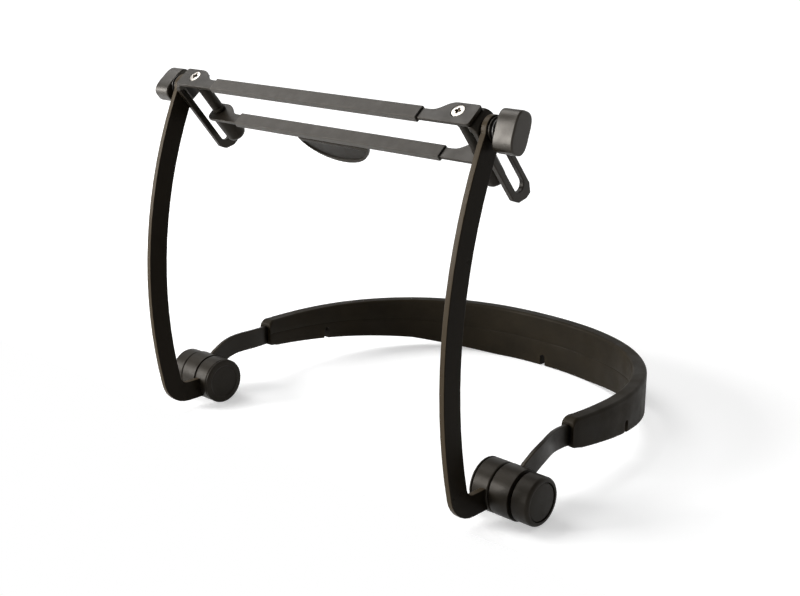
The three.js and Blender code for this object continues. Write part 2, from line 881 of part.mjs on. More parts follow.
// A round body made oval: its rim moves to the oval and all else keeps its distance from the rim
function oval(geometry, halfDepth, halfLength, roundness) {
  const places = geometry.attributes.position;
  for (let i = 0; i < places.count; i += 1) {
    const spot = new THREE.Vector2(places.getY(i), places.getZ(i));
    const radius = spot.length();
    if (radius > gap) {
      spot.divideScalar(radius);
      const depthShare = Math.abs(spot.x / halfDepth) ** roundness;
      const lengthShare = Math.abs(spot.y / halfLength) ** roundness;
      const rim = (depthShare + lengthShare) ** (-1 / roundness);
      spot.multiplyScalar(rim - halfLength + radius);
      places.setXYZ(i, places.getX(i), spot.x, spot.y);
    }
  }
  return geometry;
}

// A grip whose long side leans back from upright
function tiltKnob(lean) {
  const rim = [];
  for (let i = 0; i <= roundSteps; i += 1) {
    const angle = (i / roundSteps) * quarterTurn;
    rim.push([
      tiltKnobEnd - tiltKnobRound + tiltKnobRound * Math.sin(angle),
      tiltKnobHalfLength - tiltKnobRound + tiltKnobRound * Math.cos(angle),
    ]);
  }
  const body = turned([
    [tiltKnobStart, 0],
    [tiltKnobStart, tiltKnobHalfLength],
    ...rim,
    [tiltKnobEnd, 0],
  ], aroundOval);
  oval(body, tiltKnobHalfDepth, tiltKnobHalfLength, knobRoundness);
  const pocketEnd = tiltKnobStart + gap + tiltInsertLength + gap;
  const pocket = rod(tiltKnobStart - overrun, pocketEnd, tiltInsertRadius + gap, aroundLarge);
  const turn = THREE.MathUtils.degToRad(-lean - cradleTiltDegrees);
  return toGeometry(cut(toSolid(body.rotateX(turn)), toSolid(pocket)));
}

function tiltKnobInsert() {
  const start = tiltKnobStart + gap;
  return hexTube(start, start + tiltInsertLength, threadRadius + gap, tiltInsertRadius);
}

// Finishes
function finish(color, roughness, metalness) {
  return () => new THREE.MeshStandardMaterial({ color, roughness, metalness });
}

const blackLacquer = finish(0x1a1817, 0.42, 0.35);
const blackPlastic = finish(0x1c1b1a, 0.5, 0);
const greyRubber = finish(0x4a4845, 0.85, 0);
const neckRubber = finish(0x25211e, 0.8, 0);
const brightSteel = finish(0xb9b8b4, 0.3, 0.9);
const blackSteel = finish(0x22201f, 0.4, 0.6);
const brass = finish(0xb08d4a, 0.35, 0.9);

// Assembly
const sideNames = [[1, 'right'], [-1, 'left']];
const holder = new THREE.Group();
const aboutHubs = new THREE.Group();
const aboutStuds = new THREE.Group();
const cradle = new THREE.Group();

function place(group, name, geometry, material) {
  const piece = new THREE.Mesh(geometry, material());
  piece.name = name;
  group.add(piece);
}

// A mirrored pair of pieces that are drawn for the right-hand side
function placePair(group, name, geometry, material) {
  sideNames.forEach(([side, word]) => {
    place(group, `${name}_${word}`, onSide(geometry, side), material);
  });
}

place(aboutHubs, 'neck_strip', neckStrip(), blackLacquer);
place(aboutHubs, 'neck_sleeve', neckSleeve(), neckRubber);
placePair(aboutHubs, 'band_hub', bandHub(), blackPlastic);
placePair(aboutHubs, 'pivot_bolt', pivotBolt(), blackSteel);
placePair(aboutHubs, 'lock_washer', lockWasher(), blackSteel);
placePair(aboutHubs, 'lock_knob', lockKnob(), blackPlastic);
placePair(aboutHubs, 'lock_knob_cap', lockKnobCap(), blackPlastic);
placePair(aboutHubs, 'lock_knob_insert', lockKnobInsert(), brass);
placePair(aboutHubs, 'arm', arm(), blackLacquer);
placePair(aboutHubs, 'arm_hub', armHub(), blackPlastic);
placePair(aboutHubs, 'hub_cap', hubCap(), blackPlastic);
placePair(aboutHubs, 'friction_ring', frictionRing(), blackPlastic);

placePair(aboutStuds, 'tilt_stud', tiltStud(), blackSteel);
placePair(aboutStuds, 'clamp_disc', clampDisc(), blackPlastic);
placePair(aboutStuds, 'ribbed_washer', ribbedWasher(), blackSteel);
placePair(aboutStuds, 'lock_ring', lockRing(), blackSteel);
place(aboutStuds, 'tilt_knob_right', tiltKnob(rightKnobLeanDegrees), blackPlastic);
place(aboutStuds, 'tilt_knob_left', onSide(tiltKnob(leftKnobLeanDegrees), -1), blackPlastic);
placePair(aboutStuds, 'tilt_knob_insert', tiltKnobInsert(), brass);

place(cradle, 'upper_bar', upperBar(), blackLacquer);
place(cradle, 'upper_bar_sleeve', barSleeve(0), greyRubber);
place(cradle, 'lower_bar', lowerBar(), blackLacquer);
place(cradle, 'lower_bar_sleeve', barSleeve(barPitch), greyRubber);
place(cradle, 'thumb_tab', thumbTab(), blackPlastic);
placePair(cradle, 'slot_link', slotLink(), blackLacquer);
sideNames.forEach(([side, word]) => {
  place(cradle, `clamp_screw_${word}`, clampScrew(side), brightSteel);
  place(cradle, `guide_post_${word}`, guidePost(side), blackPlastic);
  place(cradle, `stop_nut_${word}`, stopNut(side), brightSteel);
  place(cradle, `spring_cup_${word}`, springCup(side), blackPlastic);
  place(cradle, `clamp_spring_${word}`, clampSpring(side), brightSteel);
});

cradle.position.set(0, -slotMiddle, studDepth);
aboutStuds.add(cradle);
aboutStuds.position.set(0, -studForward, studHeight);
aboutStuds.rotation.x = cradleTilt;
aboutHubs.add(aboutStuds);
aboutHubs.position.set(0, (armFront - bandBackOuter) * half, hubRadius);
holder.add(aboutHubs);

export default holder;
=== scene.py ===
"""Finishes a neck-worn holder: its rubber-sleeved band, hubs, arms and clamp, on a pale stage."""

import json
import math
from contextlib import contextmanager

import bpy
from bpy.props import FloatProperty, FloatVectorProperty, IntProperty, PointerProperty
from mathutils import Matrix, Vector


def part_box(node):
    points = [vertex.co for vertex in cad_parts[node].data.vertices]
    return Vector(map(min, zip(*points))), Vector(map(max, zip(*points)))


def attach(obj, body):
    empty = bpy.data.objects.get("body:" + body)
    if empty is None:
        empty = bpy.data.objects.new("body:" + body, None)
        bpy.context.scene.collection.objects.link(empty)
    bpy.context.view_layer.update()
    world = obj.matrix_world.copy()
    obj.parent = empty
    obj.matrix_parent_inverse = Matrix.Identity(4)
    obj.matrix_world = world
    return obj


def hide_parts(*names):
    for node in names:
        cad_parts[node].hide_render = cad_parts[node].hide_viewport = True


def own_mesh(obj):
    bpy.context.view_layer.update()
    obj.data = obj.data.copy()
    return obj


bl_info = {
    "name": "Neck holder",
    "version": (1, 0, 0),
    "blender": (4, 5, 0),
    "location": "3D View > Sidebar > Holder",
    "description": "Models and finishes the pieces of a neck-worn holder",
    "category": "Object",
}

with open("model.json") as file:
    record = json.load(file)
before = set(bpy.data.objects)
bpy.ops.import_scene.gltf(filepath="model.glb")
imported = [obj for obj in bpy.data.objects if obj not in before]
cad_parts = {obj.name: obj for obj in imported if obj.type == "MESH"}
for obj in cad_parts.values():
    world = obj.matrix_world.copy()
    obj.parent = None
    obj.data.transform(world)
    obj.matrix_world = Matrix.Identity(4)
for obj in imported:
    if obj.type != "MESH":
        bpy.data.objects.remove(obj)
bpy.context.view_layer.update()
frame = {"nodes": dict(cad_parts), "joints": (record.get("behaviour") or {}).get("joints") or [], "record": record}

MM = 0.001
DOUBLED = 0.002 * MM
CREASE_REACH = 0.6 * MM
# Edges are rounded where they turn by more, and shaded smooth where they turn by less
ROUNDED_ABOVE = math.radians(30)
SMOOTH_BELOW = math.radians(35)
SIDES = ((1, "right"), (-1, "left"))
BODY_OF = {
    node: body for body, nodes in frame["record"]["behaviour"]["bodies"].items() for node in nodes
}
SLOT_OF = {piece["node"]: piece["material_slot"] for piece in frame["record"]["subparts"]}
JOINTS = {joint["name"]: joint for joint in frame["joints"]}
HUB_Y, HUB_Z = JOINTS["swing_right"]["pos_m"][1:]


# Where the clamp's pieces lie

clamp_axis = Vector(JOINTS["clamp_slide"]["axis"])
CRADLE_TURN = Matrix.Rotation(math.atan2(clamp_axis.y, -clamp_axis.z), 4, "X")


def points_of(node):
    """The points of a CAD piece, in metres."""
    return [vertex.co for vertex in frame["nodes"][node].data.vertices]


def square_on(node):
    """The lowest and highest corners of a clamp piece, seen square on to its bars."""
    turn = CRADLE_TURN.inverted()
    corners = [turn @ point for point in points_of(node)]
    low = Vector([min(corner[i] for corner in corners) for i in range(3)])
    high = Vector([max(corner[i] for corner in corners) for i in range(3)])
    return low, high


def facing_out(side, y, z):
    """The placing of a turned piece whose axis runs out to one side."""
    return Matrix.Translation((0, y, z)) @ Matrix.Rotation(side * math.pi / 2, 4, "Y")


def across_hub(node):
    """How a piece that turns about X lies: its near and far end, radius, bore, and placing."""
    low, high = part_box(node)
    side = 1 if low.x + high.x > 0 else -1
    near, far = sorted((abs(low.x), abs(high.x)))
    middle = (low + high) / 2
    radii = [math.hypot(point.y - middle.y, point.z - middle.z) for point in points_of(node)]
    return near, far, max(radii), min(radii), facing_out(side, middle.y, middle.z)


def along_screw(node):
    """How a piece that turns about a clamp screw lies: its bottom, top, radius, and placing."""
    low, high = square_on(node)
    middle = (low + high) / 2
    placing = CRADLE_TURN @ Matrix.Translation((middle.x, middle.y, 0))
    return low.z, high.z, (high.x - low.x) / 2, placing


# Settings

def length(name, description, millimetres):
    return FloatProperty(
        name=name, description=description, default=millimetres * MM,
        min=0, soft_max=1, precision=5, unit="LENGTH",
    )


def angle(name, description, degrees):
    return FloatProperty(
        name=name, description=description, default=math.radians(degrees), subtype="ANGLE"
    )


def number(name, description, value):
    return FloatProperty(name=name, description=description, default=value, min=0)


def count(name, description, value):
    return IntProperty(name=name, description=description, default=value, min=1)


def colour(name, description, *parts):
    return FloatVectorProperty(
        name=name, description=description, default=parts, min=0, max=1, subtype="COLOR"
    )


class HOLDER_PG_finishes(bpy.types.PropertyGroup):
    lacquer: colour("Lacquer", "Black lacquer of the arms and bars", 0.0052, 0.0040, 0.0026)
    plastic: colour("Plastic", "Black plastic of the hubs, knobs and cups", 0.0100, 0.0080, 0.0054)
    bar_rubber: colour("Bar rubber", "Grey rubber of the bar sleeves", 0.038, 0.0345, 0.030)
    neck_rubber: colour("Neck rubber", "Dark rubber of the neck sleeve", 0.0110, 0.0083, 0.0046)
    bright_steel: colour("Bright steel", "Plated screws and springs", 0.44, 0.41, 0.37)
    black_steel: colour("Black steel", "Blackened studs and washers", 0.03, 0.028, 0.026)
    brass: colour("Brass", "Brass of the threaded inserts", 0.62, 0.42, 0.15)
    floor: colour("Floor", "Pale floor", 0.80, 0.80, 0.80)


class HOLDER_PG_edges(bpy.types.PropertyGroup):
    bar: length("Bar edge", "Rounding along the flat bars", 0.3)
    arm: length("Arm edge", "Rounding along the arms", 0.45)
    link: length("Link edge", "Rounding round the slotted links", 0.5)
    tab: length("Tab edge", "Rounding round the thumb tab", 0.3)
    hub: length("Hub edge", "Rounding at the ends of the hubs", 0.8)
    ring: length("Ring edge", "Rounding of the thin rings and washers", 0.2)
    groove: length("Groove edge", "Rounding of the ribbed washers", 0.1)
    sleeve: length("Sleeve edge", "Rounding along the bar sleeves", 0.9)
    mouth: length("Mouth edge", "Rounding at the open ends of the bar sleeves", 0.12)
    screw: length("Screw edge", "Rounding of the screws and their crosses", 0.08)
    post: length("Post edge", "Rounding of the posts", 0.25)
    cup: length("Cup edge", "Rounding of the cups", 0.15)
    segments: count("Segments", "Faces across each rounding", 3)


class HOLDER_PG_knobs(bpy.types.PropertyGroup):
    lock_round: length("Lock rounding", "Rounding round a lock knob's face", 1.7)
    lock_rim: length("Lock rim", "Rim round a lock knob's cap", 2.4)
    lock_floor: length("Lock floor", "Depth that a lock knob's cap sits in", 1.5)
    lock_pocket: length("Lock pocket", "Radius of the pocket in a lock knob", 6.6)
    tilt_length: length("Tilt length", "Half length of a tilt knob's oval", 9.8)
    tilt_depth: length("Tilt depth", "Half depth of a tilt knob's oval", 5.7)
    tilt_round: length("Tilt rounding", "Rounding round a tilt knob's ends", 0.9)
    tilt_pocket: length("Tilt pocket", "Radius of the pocket in a tilt knob", 4.6)
    pocket_depth: length("Pocket depth", "Depth of the pocket for a threaded insert", 6.2)
    eye_room: length("Eye room", "Room round the strip's eye in its hub", 0.3)
    roundness: number("Roundness", "Power of a tilt knob's oval", 3.1)
    lean_right: angle("Right lean", "How far the right tilt knob's top leans back", 19.5)
    lean_left: angle("Left lean", "How far the left tilt knob's top leans back", 50)


class HOLDER_PG_band(bpy.types.PropertyGroup):
    start: length("Start", "Widest place of the band, behind the hub axis", 68.8)
    roundness: number("Roundness", "Power of the band's oval", 2.23)
    sleeve_start: length("Sleeve start", "Front end of the sleeve, behind the hub axis", 45.6)
    straight: length("Straight", "Straight run of the strip behind the hub", 13.5)
    strip_rise: length("Strip rise", "Height of the strip's middle at the sleeve", 14.4)
    strip_rise_length: length("Rise length", "Run over which the strip rises", 45)
    strip_back: length("Strip back", "Height of the strip's middle at the back", 5)
    strip_width: length("Strip width", "Width of the strip", 11.6)
    strip_edge: length("Strip edge", "Rounding along the strip", 0.6)
    top_fall: length("Top fall", "How far the sleeve's top edge falls to the back", 4.1)
    end_bottom: length("End bottom", "Lower edge at the sleeve's front end", 7.2)
    knee_bottom: length("Knee bottom", "Depth of the lower edge at its knee", 5.6)
    knee_length: length("Knee length", "Run of the knee before the back", 37)
    foot_depth: length("Foot", "Run of the flat foot at the back", 8)
    top_round: length("Top rounding", "Rounding along the sleeve's top", 1.7)
    bottom_round: length("Bottom rounding", "Rounding along the sleeve's lower edge", 1.3)
    end_round: length("End rounding", "Rounding at the sleeve's front corners", 4)
    crease: length("Crease", "Depth of the seam along the inner face", 0.3)
    mouth_room: length("Mouth room", "Room beside the strip in the sleeve's open ends", 0.8)
    mouth_rim: length("Mouth rim", "Rubber above and below the sleeve's open ends", 1.2)
    mouth_depth: length("Mouth depth", "Depth of the sleeve's open ends", 3.5)
    slit_width: length("Slit width", "Width of a slit in the lower edge", 3.8)
    slit_height: length("Slit height", "Height of a slit in the lower edge", 7.4)
    slit_distance: length("Slit distance", "Side slits behind the sleeve's front end", 48)


class HOLDER_PG_screws(bpy.types.PropertyGroup):
    post_bore: length("Post bore", "Radius of a post's bore", 2.2)
    collar: length("Collar", "Height of a post's collars", 1.6)
    dome: length("Dome", "Height of a cup's domed end", 3.6)
    cup_wall: length("Cup wall", "Wall of a cup", 0.9)
    cup_floor: length("Cup floor", "Thickness of a cup's end", 1.9)
    wire: length("Wire", "Radius of a spring's wire", 0.4)
    turns: count("Turns", "Turns of a spring", 5)


class HOLDER_PG_stage(bpy.types.PropertyGroup):
    azimuth: angle("Azimuth", "Camera's turn about the holder", 43.18)
    elevation: angle("Elevation", "Camera's angle above the floor", 16.91)
    place: FloatVectorProperty(
        name="Camera place",
        description="Where the camera stands",
        default=(0.4443, -0.49985, 0.2722),
        subtype="TRANSLATION",
        unit="LENGTH",
    )
    lens: number("Lens", "Focal length in millimetres", 55.7)
    key: number("Key lamp", "Power of the lamp at the front left", 26)
    top: number("Top lamp", "Power of the lamp at the upper left", 8)
    back: number("Back lamp", "Power of the lamp behind", 1.5)
    world: number("World", "Strength of the surrounding light", 0.25)


# Finishes

WARM_GLOSS = (1, 0.93, 0.84, 1)
EVEN = 0.5
# How much lighter the painted highlight on the arms' front and back edges makes the lacquer
PAINTED_HIGHLIGHT_SHARE = 9
# The reach of noise between the darker and lighter patches, and between the glossier and duller
PATCHES = (0.3, 0.72)
DRIFT = (0.3, 0.7)
# Where a surface's bend starts and ends to count as an edge, which wear and a painted highlight make lighter, and
# as a dip in the surface, which painted shade makes darker
EDGE = (0.51, 0.6)
HOLLOW_SHADE_BEND = (0.49, 0.42)
# How far a surface faces along X where its painted highlight starts and is full
HIGHLIGHT_FACING = (0.75, 0.35)

finishes = {}


def node_of(tree, kind, place, inputs=(), **settings):
    """Adds a shader node with its settings. An input is a name with a value or a socket."""
    node = tree.nodes.new(kind)
    node.location = place
    for name, value in settings.items():
        setattr(node, name, value)
    for name, value in inputs:
        if isinstance(value, bpy.types.NodeSocket):
            tree.links.new(value, node.inputs[name])
        else:
            node.inputs[name].default_value = value
    return node


def ranged(tree, place, value, start, end, low, high):
    """A socket that goes from low to high while a value goes from start to end."""
    inputs = [
        ("Value", value), ("From Min", start), ("From Max", end), ("To Min", low), ("To Max", high),
    ]
    return node_of(tree, "ShaderNodeMapRange", place, inputs).outputs["Result"]


def calculated(tree, place, operation, *values):
    """A socket that holds a sum of one or two values."""
    node = node_of(tree, "ShaderNodeMath", place, enumerate(values), operation=operation)
    return node.outputs["Value"]


def mixed_colours(tree, place, share, first, second):
    """A socket that goes from one colour to another."""
    inputs = [("Factor", share), ("A", first), ("B", second)]
    return node_of(tree, "ShaderNodeMix", place, inputs, data_type="RGBA").outputs["Result"]


def noise_of(tree, place, places, scale, detail, **more):
    """A socket of noise at the surface's own places."""
    inputs = [("Vector", places), ("Scale", scale), ("Detail", detail)]
    inputs += [(name.capitalize(), value) for name, value in more.items()]
    return node_of(tree, "ShaderNodeTexNoise", place, inputs).outputs["Fac"]


def shade_of(tint, share):
    """A colour made lighter or darker by a share, as four numbers."""
    return (*(min(part * share, 1) for part in tint), 1)


def patchy_colour(tree, places, tint, patches, edge_wear_and_highlight, hollow_shade):
    """A socket of the colour in soft patches, lighter along edges from wear and a painted highlight, and darker in
    dips from painted shade.
    """
    scale, spread = patches
    tones = node_of(
        tree, "ShaderNodeValToRGB", (-800, 300),
        [("Fac", noise_of(tree, (-1100, 300), places, scale, 6, roughness=0.62))],
    )
    for element, position, share in zip(
        tones.color_ramp.elements, PATCHES, (1 - spread, 1 + spread)
    ):
        element.position = position
        element.color = shade_of(tint, share)
    bend = node_of(tree, "ShaderNodeNewGeometry", (-1100, 600)).outputs["Pointiness"]
    result = tones.outputs["Color"]
    # The sharpest edges get lighter, from wear and a painted highlight, and the dips darker, from painted shade
    for share, bends, place in ((edge_wear_and_highlight, EDGE, -500), (hollow_shade, HOLLOW_SHADE_BEND, -200)):
        if share != 1:
            reach = ranged(tree, (place - 200, 700), bend, *bends, 0, 0.9)
            result = mixed_colours(tree, (place, 400), reach, result, shade_of(tint, share))
    return result


def new_finish(
    title, tint, roughness, patches, gloss, grain,
    metallic=0, specular=EVEN, edge_wear_and_highlight=1, hollow_shade=1, stretch=(1, 1, 1),
):
    """A material with patches of colour, drifting gloss and a fine raised grain.

    patches is (scale, spread), gloss (scale, lowest and highest roughness), and grain (scale,
    height, strength). The edge share is that of the tint on the sharpest edges, which wear and a
    painted highlight make lighter, and the dip share is that in the surface's dips, which painted
    shade makes darker.
    """
    material = bpy.data.materials.new(title)
    material.diffuse_color = (*tint, 1)
    material.use_nodes = True
    tree = material.node_tree
    places = node_of(tree, "ShaderNodeTexCoord", (-1400, 0)).outputs["Object"]
    shader = tree.nodes["Principled BSDF"]
    shader.inputs["Roughness"].default_value = roughness
    shader.inputs["Metallic"].default_value = metallic
    shader.inputs["Specular IOR Level"].default_value = specular
    if not metallic:
        shader.inputs["Specular Tint"].default_value = WARM_GLOSS

    colour_of = patchy_colour(tree, places, tint, patches, edge_wear_and_highlight, hollow_shade)
    tree.links.new(colour_of, shader.inputs["Base Color"])

    scale, lowest, highest = gloss
    drift = noise_of(tree, (-1100, -100), places, scale, 5)
    sheen = ranged(tree, (-800, -100), drift, *DRIFT, lowest, highest)
    tree.links.new(sheen, shader.inputs["Roughness"])

    scale, height, strength = grain
    stretched = node_of(
        tree, "ShaderNodeMapping", (-1150, -500), [("Vector", places), ("Scale", stretch)]
    )
    relief = noise_of(tree, (-900, -500), stretched.outputs["Vector"], scale, 4)
    bump = node_of(
        tree, "ShaderNodeBump", (-500, -500),
        [("Strength", strength), ("Distance", height), ("Height", relief)],
    )
    tree.links.new(bump.outputs["Normal"], shader.inputs["Normal"])
    return material


def painted_highlight_by_facing(material, tint):
    """Paints a highlight: makes a finish lighter where it doesn't face along X, as on an arm's front and back
    edges.
    """
    tree = material.node_tree
    base = tree.nodes["Principled BSDF"].inputs["Base Color"]
    normal = tree.nodes["Texture Coordinate"].outputs["Normal"]
    parts = node_of(tree, "ShaderNodeSeparateXYZ", (-1100, 900), [("Vector", normal)])
    sideways = calculated(tree, (-900, 900), "ABSOLUTE", parts.outputs["X"])
    edge = ranged(tree, (-700, 900), sideways, *HIGHLIGHT_FACING, 0, 1)
    sides = base.links[0].from_socket
    painted_highlight = mixed_colours(tree, (-100, 600), edge, sides, shade_of(tint, PAINTED_HIGHLIGHT_SHARE))
    tree.links.new(painted_highlight, base)
    return material


# Shaping

def clear_selection():
    bpy.ops.object.select_all(action="DESELECT")


def choose(piece):
    clear_selection()
    piece.select_set(True)
    bpy.context.view_layer.objects.active = piece


@contextmanager
def editing(piece):
    """Opens a piece for editing with everything selected, and closes it again."""
    choose(piece)
    bpy.ops.object.mode_set(mode="EDIT")
    bpy.ops.mesh.select_all(action="SELECT")
    yield
    bpy.ops.object.mode_set(mode="OBJECT")


def select_parts(piece, parts, wanted, kinds):
    """Opens a piece for editing with only the edges or faces selected that wanted() accepts."""
    choose(piece)
    bpy.context.tool_settings.mesh_select_mode = kinds
    bpy.ops.object.mode_set(mode="EDIT")
    bpy.ops.mesh.select_all(action="DESELECT")
    bpy.ops.object.mode_set(mode="OBJECT")
    for part in parts:
        part.select = wanted(part)
    bpy.ops.object.mode_set(mode="EDIT")


def select_faces(piece, wanted):
    select_parts(piece, piece.data.polygons, wanted, (False, False, True))


def select_edges(piece, wanted):
    select_parts(piece, piece.data.edges, wanted, (False, True, False))


def close_editing():
    """Closes a piece after editing, with nothing selected, and goes back to selecting points."""
    bpy.ops.mesh.select_all(action="DESELECT")
    bpy.ops.object.mode_set(mode="OBJECT")
    bpy.context.tool_settings.mesh_select_mode = (True, False, False)


def settle(piece, placing):
    """Puts a piece in its place and keeps the place in its mesh."""
    choose(piece)
    piece.matrix_world = placing
    bpy.ops.object.transform_apply(location=True, rotation=True, scale=True)


def add_modifier(piece, kind, **settings):
    choose(piece)
    bpy.ops.object.modifier_add(type=kind)
    modifier = piece.modifiers[-1]
    for name, value in settings.items():
        setattr(modifier, name, value)
    bpy.ops.object.modifier_apply(modifier=modifier.name)


def round_edges(piece, width, segments=3, clamp=True):
    """Rounds the sharp edges of a piece and smooths its shading."""
    add_modifier(
        piece,
        "BEVEL",
        width=width,
        segments=segments,
        limit_method="ANGLE",
        angle_limit=ROUNDED_ABOVE,
        use_clamp_overlap=clamp,
        miter_outer="MITER_ARC",
    )
    smooth(piece)


def smooth(piece):
    choose(piece)
    bpy.ops.object.shade_smooth_by_angle(angle=SMOOTH_BELOW)
    add_modifier(piece, "WEIGHTED_NORMAL", keep_sharp=True)


def tidy_mesh(piece):
    """Merges a piece's doubled points and turns its faces outwards."""
    with editing(piece):
        bpy.ops.mesh.remove_doubles(threshold=DOUBLED)
        bpy.ops.mesh.normals_make_consistent(inside=False)


def turned(name, placing, outline, ringed=False, segments=64):
    """Turns a piece from (distance, radius) pairs. A ringed outline closes on itself."""
    clear_selection()
    distance, radius = outline[0]
    bpy.ops.mesh.primitive_circle_add(
        vertices=segments,
        radius=radius,
        fill_type="NOTHING" if ringed else "NGON",
        location=(0, 0, distance),
    )
    piece = bpy.context.object
    piece.name = name
    with editing(piece):
        for following, reach in outline[1:]:
            step = (0, 0, following - distance)
            share = reach / radius
            bpy.ops.mesh.extrude_region_move(TRANSFORM_OT_translate={"value": step})
            bpy.ops.transform.resize(value=(share, share, 1), center_override=(0, 0, following))
            distance, radius = following, reach
    bpy.ops.object.transform_apply(location=True, rotation=True, scale=True)
    tidy_mesh(piece)
    settle(piece, placing)
    return piece


def quarter_turn(steps=5):
    """The sine and cosine at each step of a quarter turn."""
    angles = [i / steps * math.pi / 2 for i in range(steps + 1)]
    return [(math.sin(angle), math.cos(angle)) for angle in angles]


def quarter_round(distance, radius, rounding):
    """Points of a quarter round whose corner is at (distance, radius)."""
    return [
        (distance - rounding + rounding * sine, radius - rounding + rounding * cosine)
        for sine, cosine in quarter_turn()
    ]


def copied(node, name):
    """A merged copy of a CAD piece, with its flat faces joined."""
    source = frame["nodes"][node]
    piece = bpy.data.objects.new(name, source.data.copy())
    bpy.context.scene.collection.objects.link(piece)
    piece.data.materials.clear()
    with editing(piece):
        bpy.ops.mesh.customdata_custom_splitnormals_clear()
        bpy.ops.mesh.remove_doubles(threshold=DOUBLED)
        bpy.ops.mesh.dissolve_limited(angle_limit=math.radians(1))
    return piece


def swept(name, stations, section):
    """Sweeps a section along stations.

    A station is (middle, across, bottom, top). A section point is (offset across, share of the
    height, offset in height).
    """
    clear_selection()
    bpy.ops.mesh.primitive_grid_add(
        x_subdivisions=len(section), y_subdivisions=len(stations) - 1, size=1
    )
    piece = bpy.context.object
    piece.name = name
    row = len(section) + 1
    for index, vertex in enumerate(piece.data.vertices):
        middle, across, bottom, top = stations[index // row]
        offset, share, lift = section[index % row % len(section)]
        level = bottom + (top - bottom) * share + lift
        vertex.co = (middle.x + across.x * offset, middle.y + across.y * offset, level)
    with editing(piece):
        bpy.ops.mesh.remove_doubles(threshold=DOUBLED / 2)
        bpy.ops.mesh.fill_holes(sides=0)
        bpy.ops.mesh.select_all(action="SELECT")
        bpy.ops.mesh.normals_make_consistent(inside=False)
    return piece


def block(name, low, high):
    """A box between two corners, to be shaped further or used as a cutter."""
    clear_selection()
    bpy.ops.mesh.primitive_cube_add(size=1, location=(low + high) / 2)
    piece = bpy.context.object
    piece.name = name
    piece.scale = high - low
    bpy.ops.object.transform_apply(location=True, rotation=True, scale=True)
    return piece


def cut_away(piece, cutter):
    add_modifier(piece, "BOOLEAN", operation="DIFFERENCE", solver="EXACT", object=cutter)
    bpy.data.objects.remove(cutter)


def dress(piece, node, finish=None):
    """Gives a piece its finish and its place on a body, and hides the CAD piece that it stands for."""
    slot = SLOT_OF[node]
    piece.data.materials.clear()
    piece.data.materials.append(finishes[finish or slot])
    piece.data.name = piece.name
    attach(piece, BODY_OF[node])
    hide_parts(node)


def keep_shape(node, name, width, segments=3, finish=None):
    """Rounds the edges of a piece that otherwise keeps its CAD shape."""
    piece = copied(node, name)
    round_edges(piece, width, segments, clamp=False)
    dress(piece, node, finish)


# Neck band

def oval_point(angle, half_width, reach, start, power):
    across = math.cos(angle)
    along = math.sin(angle)
    return Vector((
        half_width * math.copysign(abs(across) ** (2 / power), across),
        start + reach * math.copysign(abs(along) ** (2 / power), along),
    ))


def oval_angle(y, reach, start, power):
    along = (y - start) / reach
    return math.asin(math.copysign(abs(along) ** (power / 2), along))


def band_line(thickness, steps=120):
    """Points along the band's plan about the hub axis, from the sleeve's right end to its left."""
    band = bpy.context.scene.holder_band
    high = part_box("neck_sleeve")[1]
    half_width = high.x - thickness / 2
    reach = high.y - HUB_Y - thickness / 2 - band.start
    first = oval_angle(band.sleeve_start, reach, band.start, band.roundness)
    points = []
    for i in range(steps + 1):
        angle = first + (math.pi - 2 * first) * i / steps
        points.append(oval_point(angle, half_width, reach, band.start, band.roundness))
    return points


def strip_line():
    """Points along the strip's plan about the hub axis, from the right eye to the left eye."""
    band = bpy.context.scene.holder_band
    back = band_line(sleeve_thickness())
    eye_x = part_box("neck_strip")[1].x - strip_thickness() / 2
    ahead = (back[0] - back[1]).normalized() * (band.sleeve_start - band.straight) / 2
    start = Vector((eye_x, band.straight))
    half_way = Vector((eye_x, (band.straight + band.sleeve_start) / 2))
    handles = (start, half_way, back[0] + ahead, back[0])
    swing = [Vector((eye_x, 0)), Vector((eye_x, band.straight / 2))]
    swing += [bezier(handles, i / 16) for i in range(16)]
    mirrored = [Vector((-point.x, point.y)) for point in reversed(swing)]
    return swing + back + mirrored


def rising_line(steps=40):
    """The strip's middle seen from the side: how far it is behind the hub axis, and how high."""
    band = bpy.context.scene.holder_band
    handles = (
        Vector((0, 0)),
        Vector((band.strip_rise, band.strip_rise)),
        Vector((band.strip_rise_length / 2, band.strip_rise)),
        Vector((band.strip_rise_length, band.strip_rise)),
    )
    return [bezier(handles, i / steps) for i in range(steps + 1)]


def height_at(line, distance):
    """The height of a line of (distance, height) points at one distance."""
    for before, after in zip(line, line[1:]):
        if after.x >= distance:
            share = max(distance - before.x, 0) / max(after.x - before.x, 0.001 * MM)
            return before.y + (after.y - before.y) * share
    return line[-1].y


def bezier(handles, t):
    a, b, c, d = handles
    s = 1 - t
    return a * s ** 3 + b * (3 * s * s * t) + c * (3 * s * t * t) + d * t ** 3


def sleeve_thickness():
    """The neck sleeve's thickness, at the middle of the back."""
    points = points_of("neck_sleeve")
    back = max(point.y for point in points)
    return back - min(point.y for point in points if abs(point.x) < 6 * MM)


def strip_thickness():
    """The strip's thickness, at the straight run beside the right hub."""
    beside = [point.x for point in points_of("neck_strip") if point.x > 0 and point.y < HUB_Y]
    return max(beside) - min(beside)


def stations_along(points, levels):
    """Stations for a sweep: each point with its direction across and its bottom and top."""
    stations = []
    for i, point in enumerate(points):
        before = points[max(i - 1, 0)]
        after = points[min(i + 1, len(points) - 1)]
        along = (after - before).normalized()
        across = Vector((along.y, -along.x))
        bottom, top = levels(point)
        stations.append((Vector((point.x, point.y + HUB_Y)), across, bottom + HUB_Z, top + HUB_Z))
    return stations


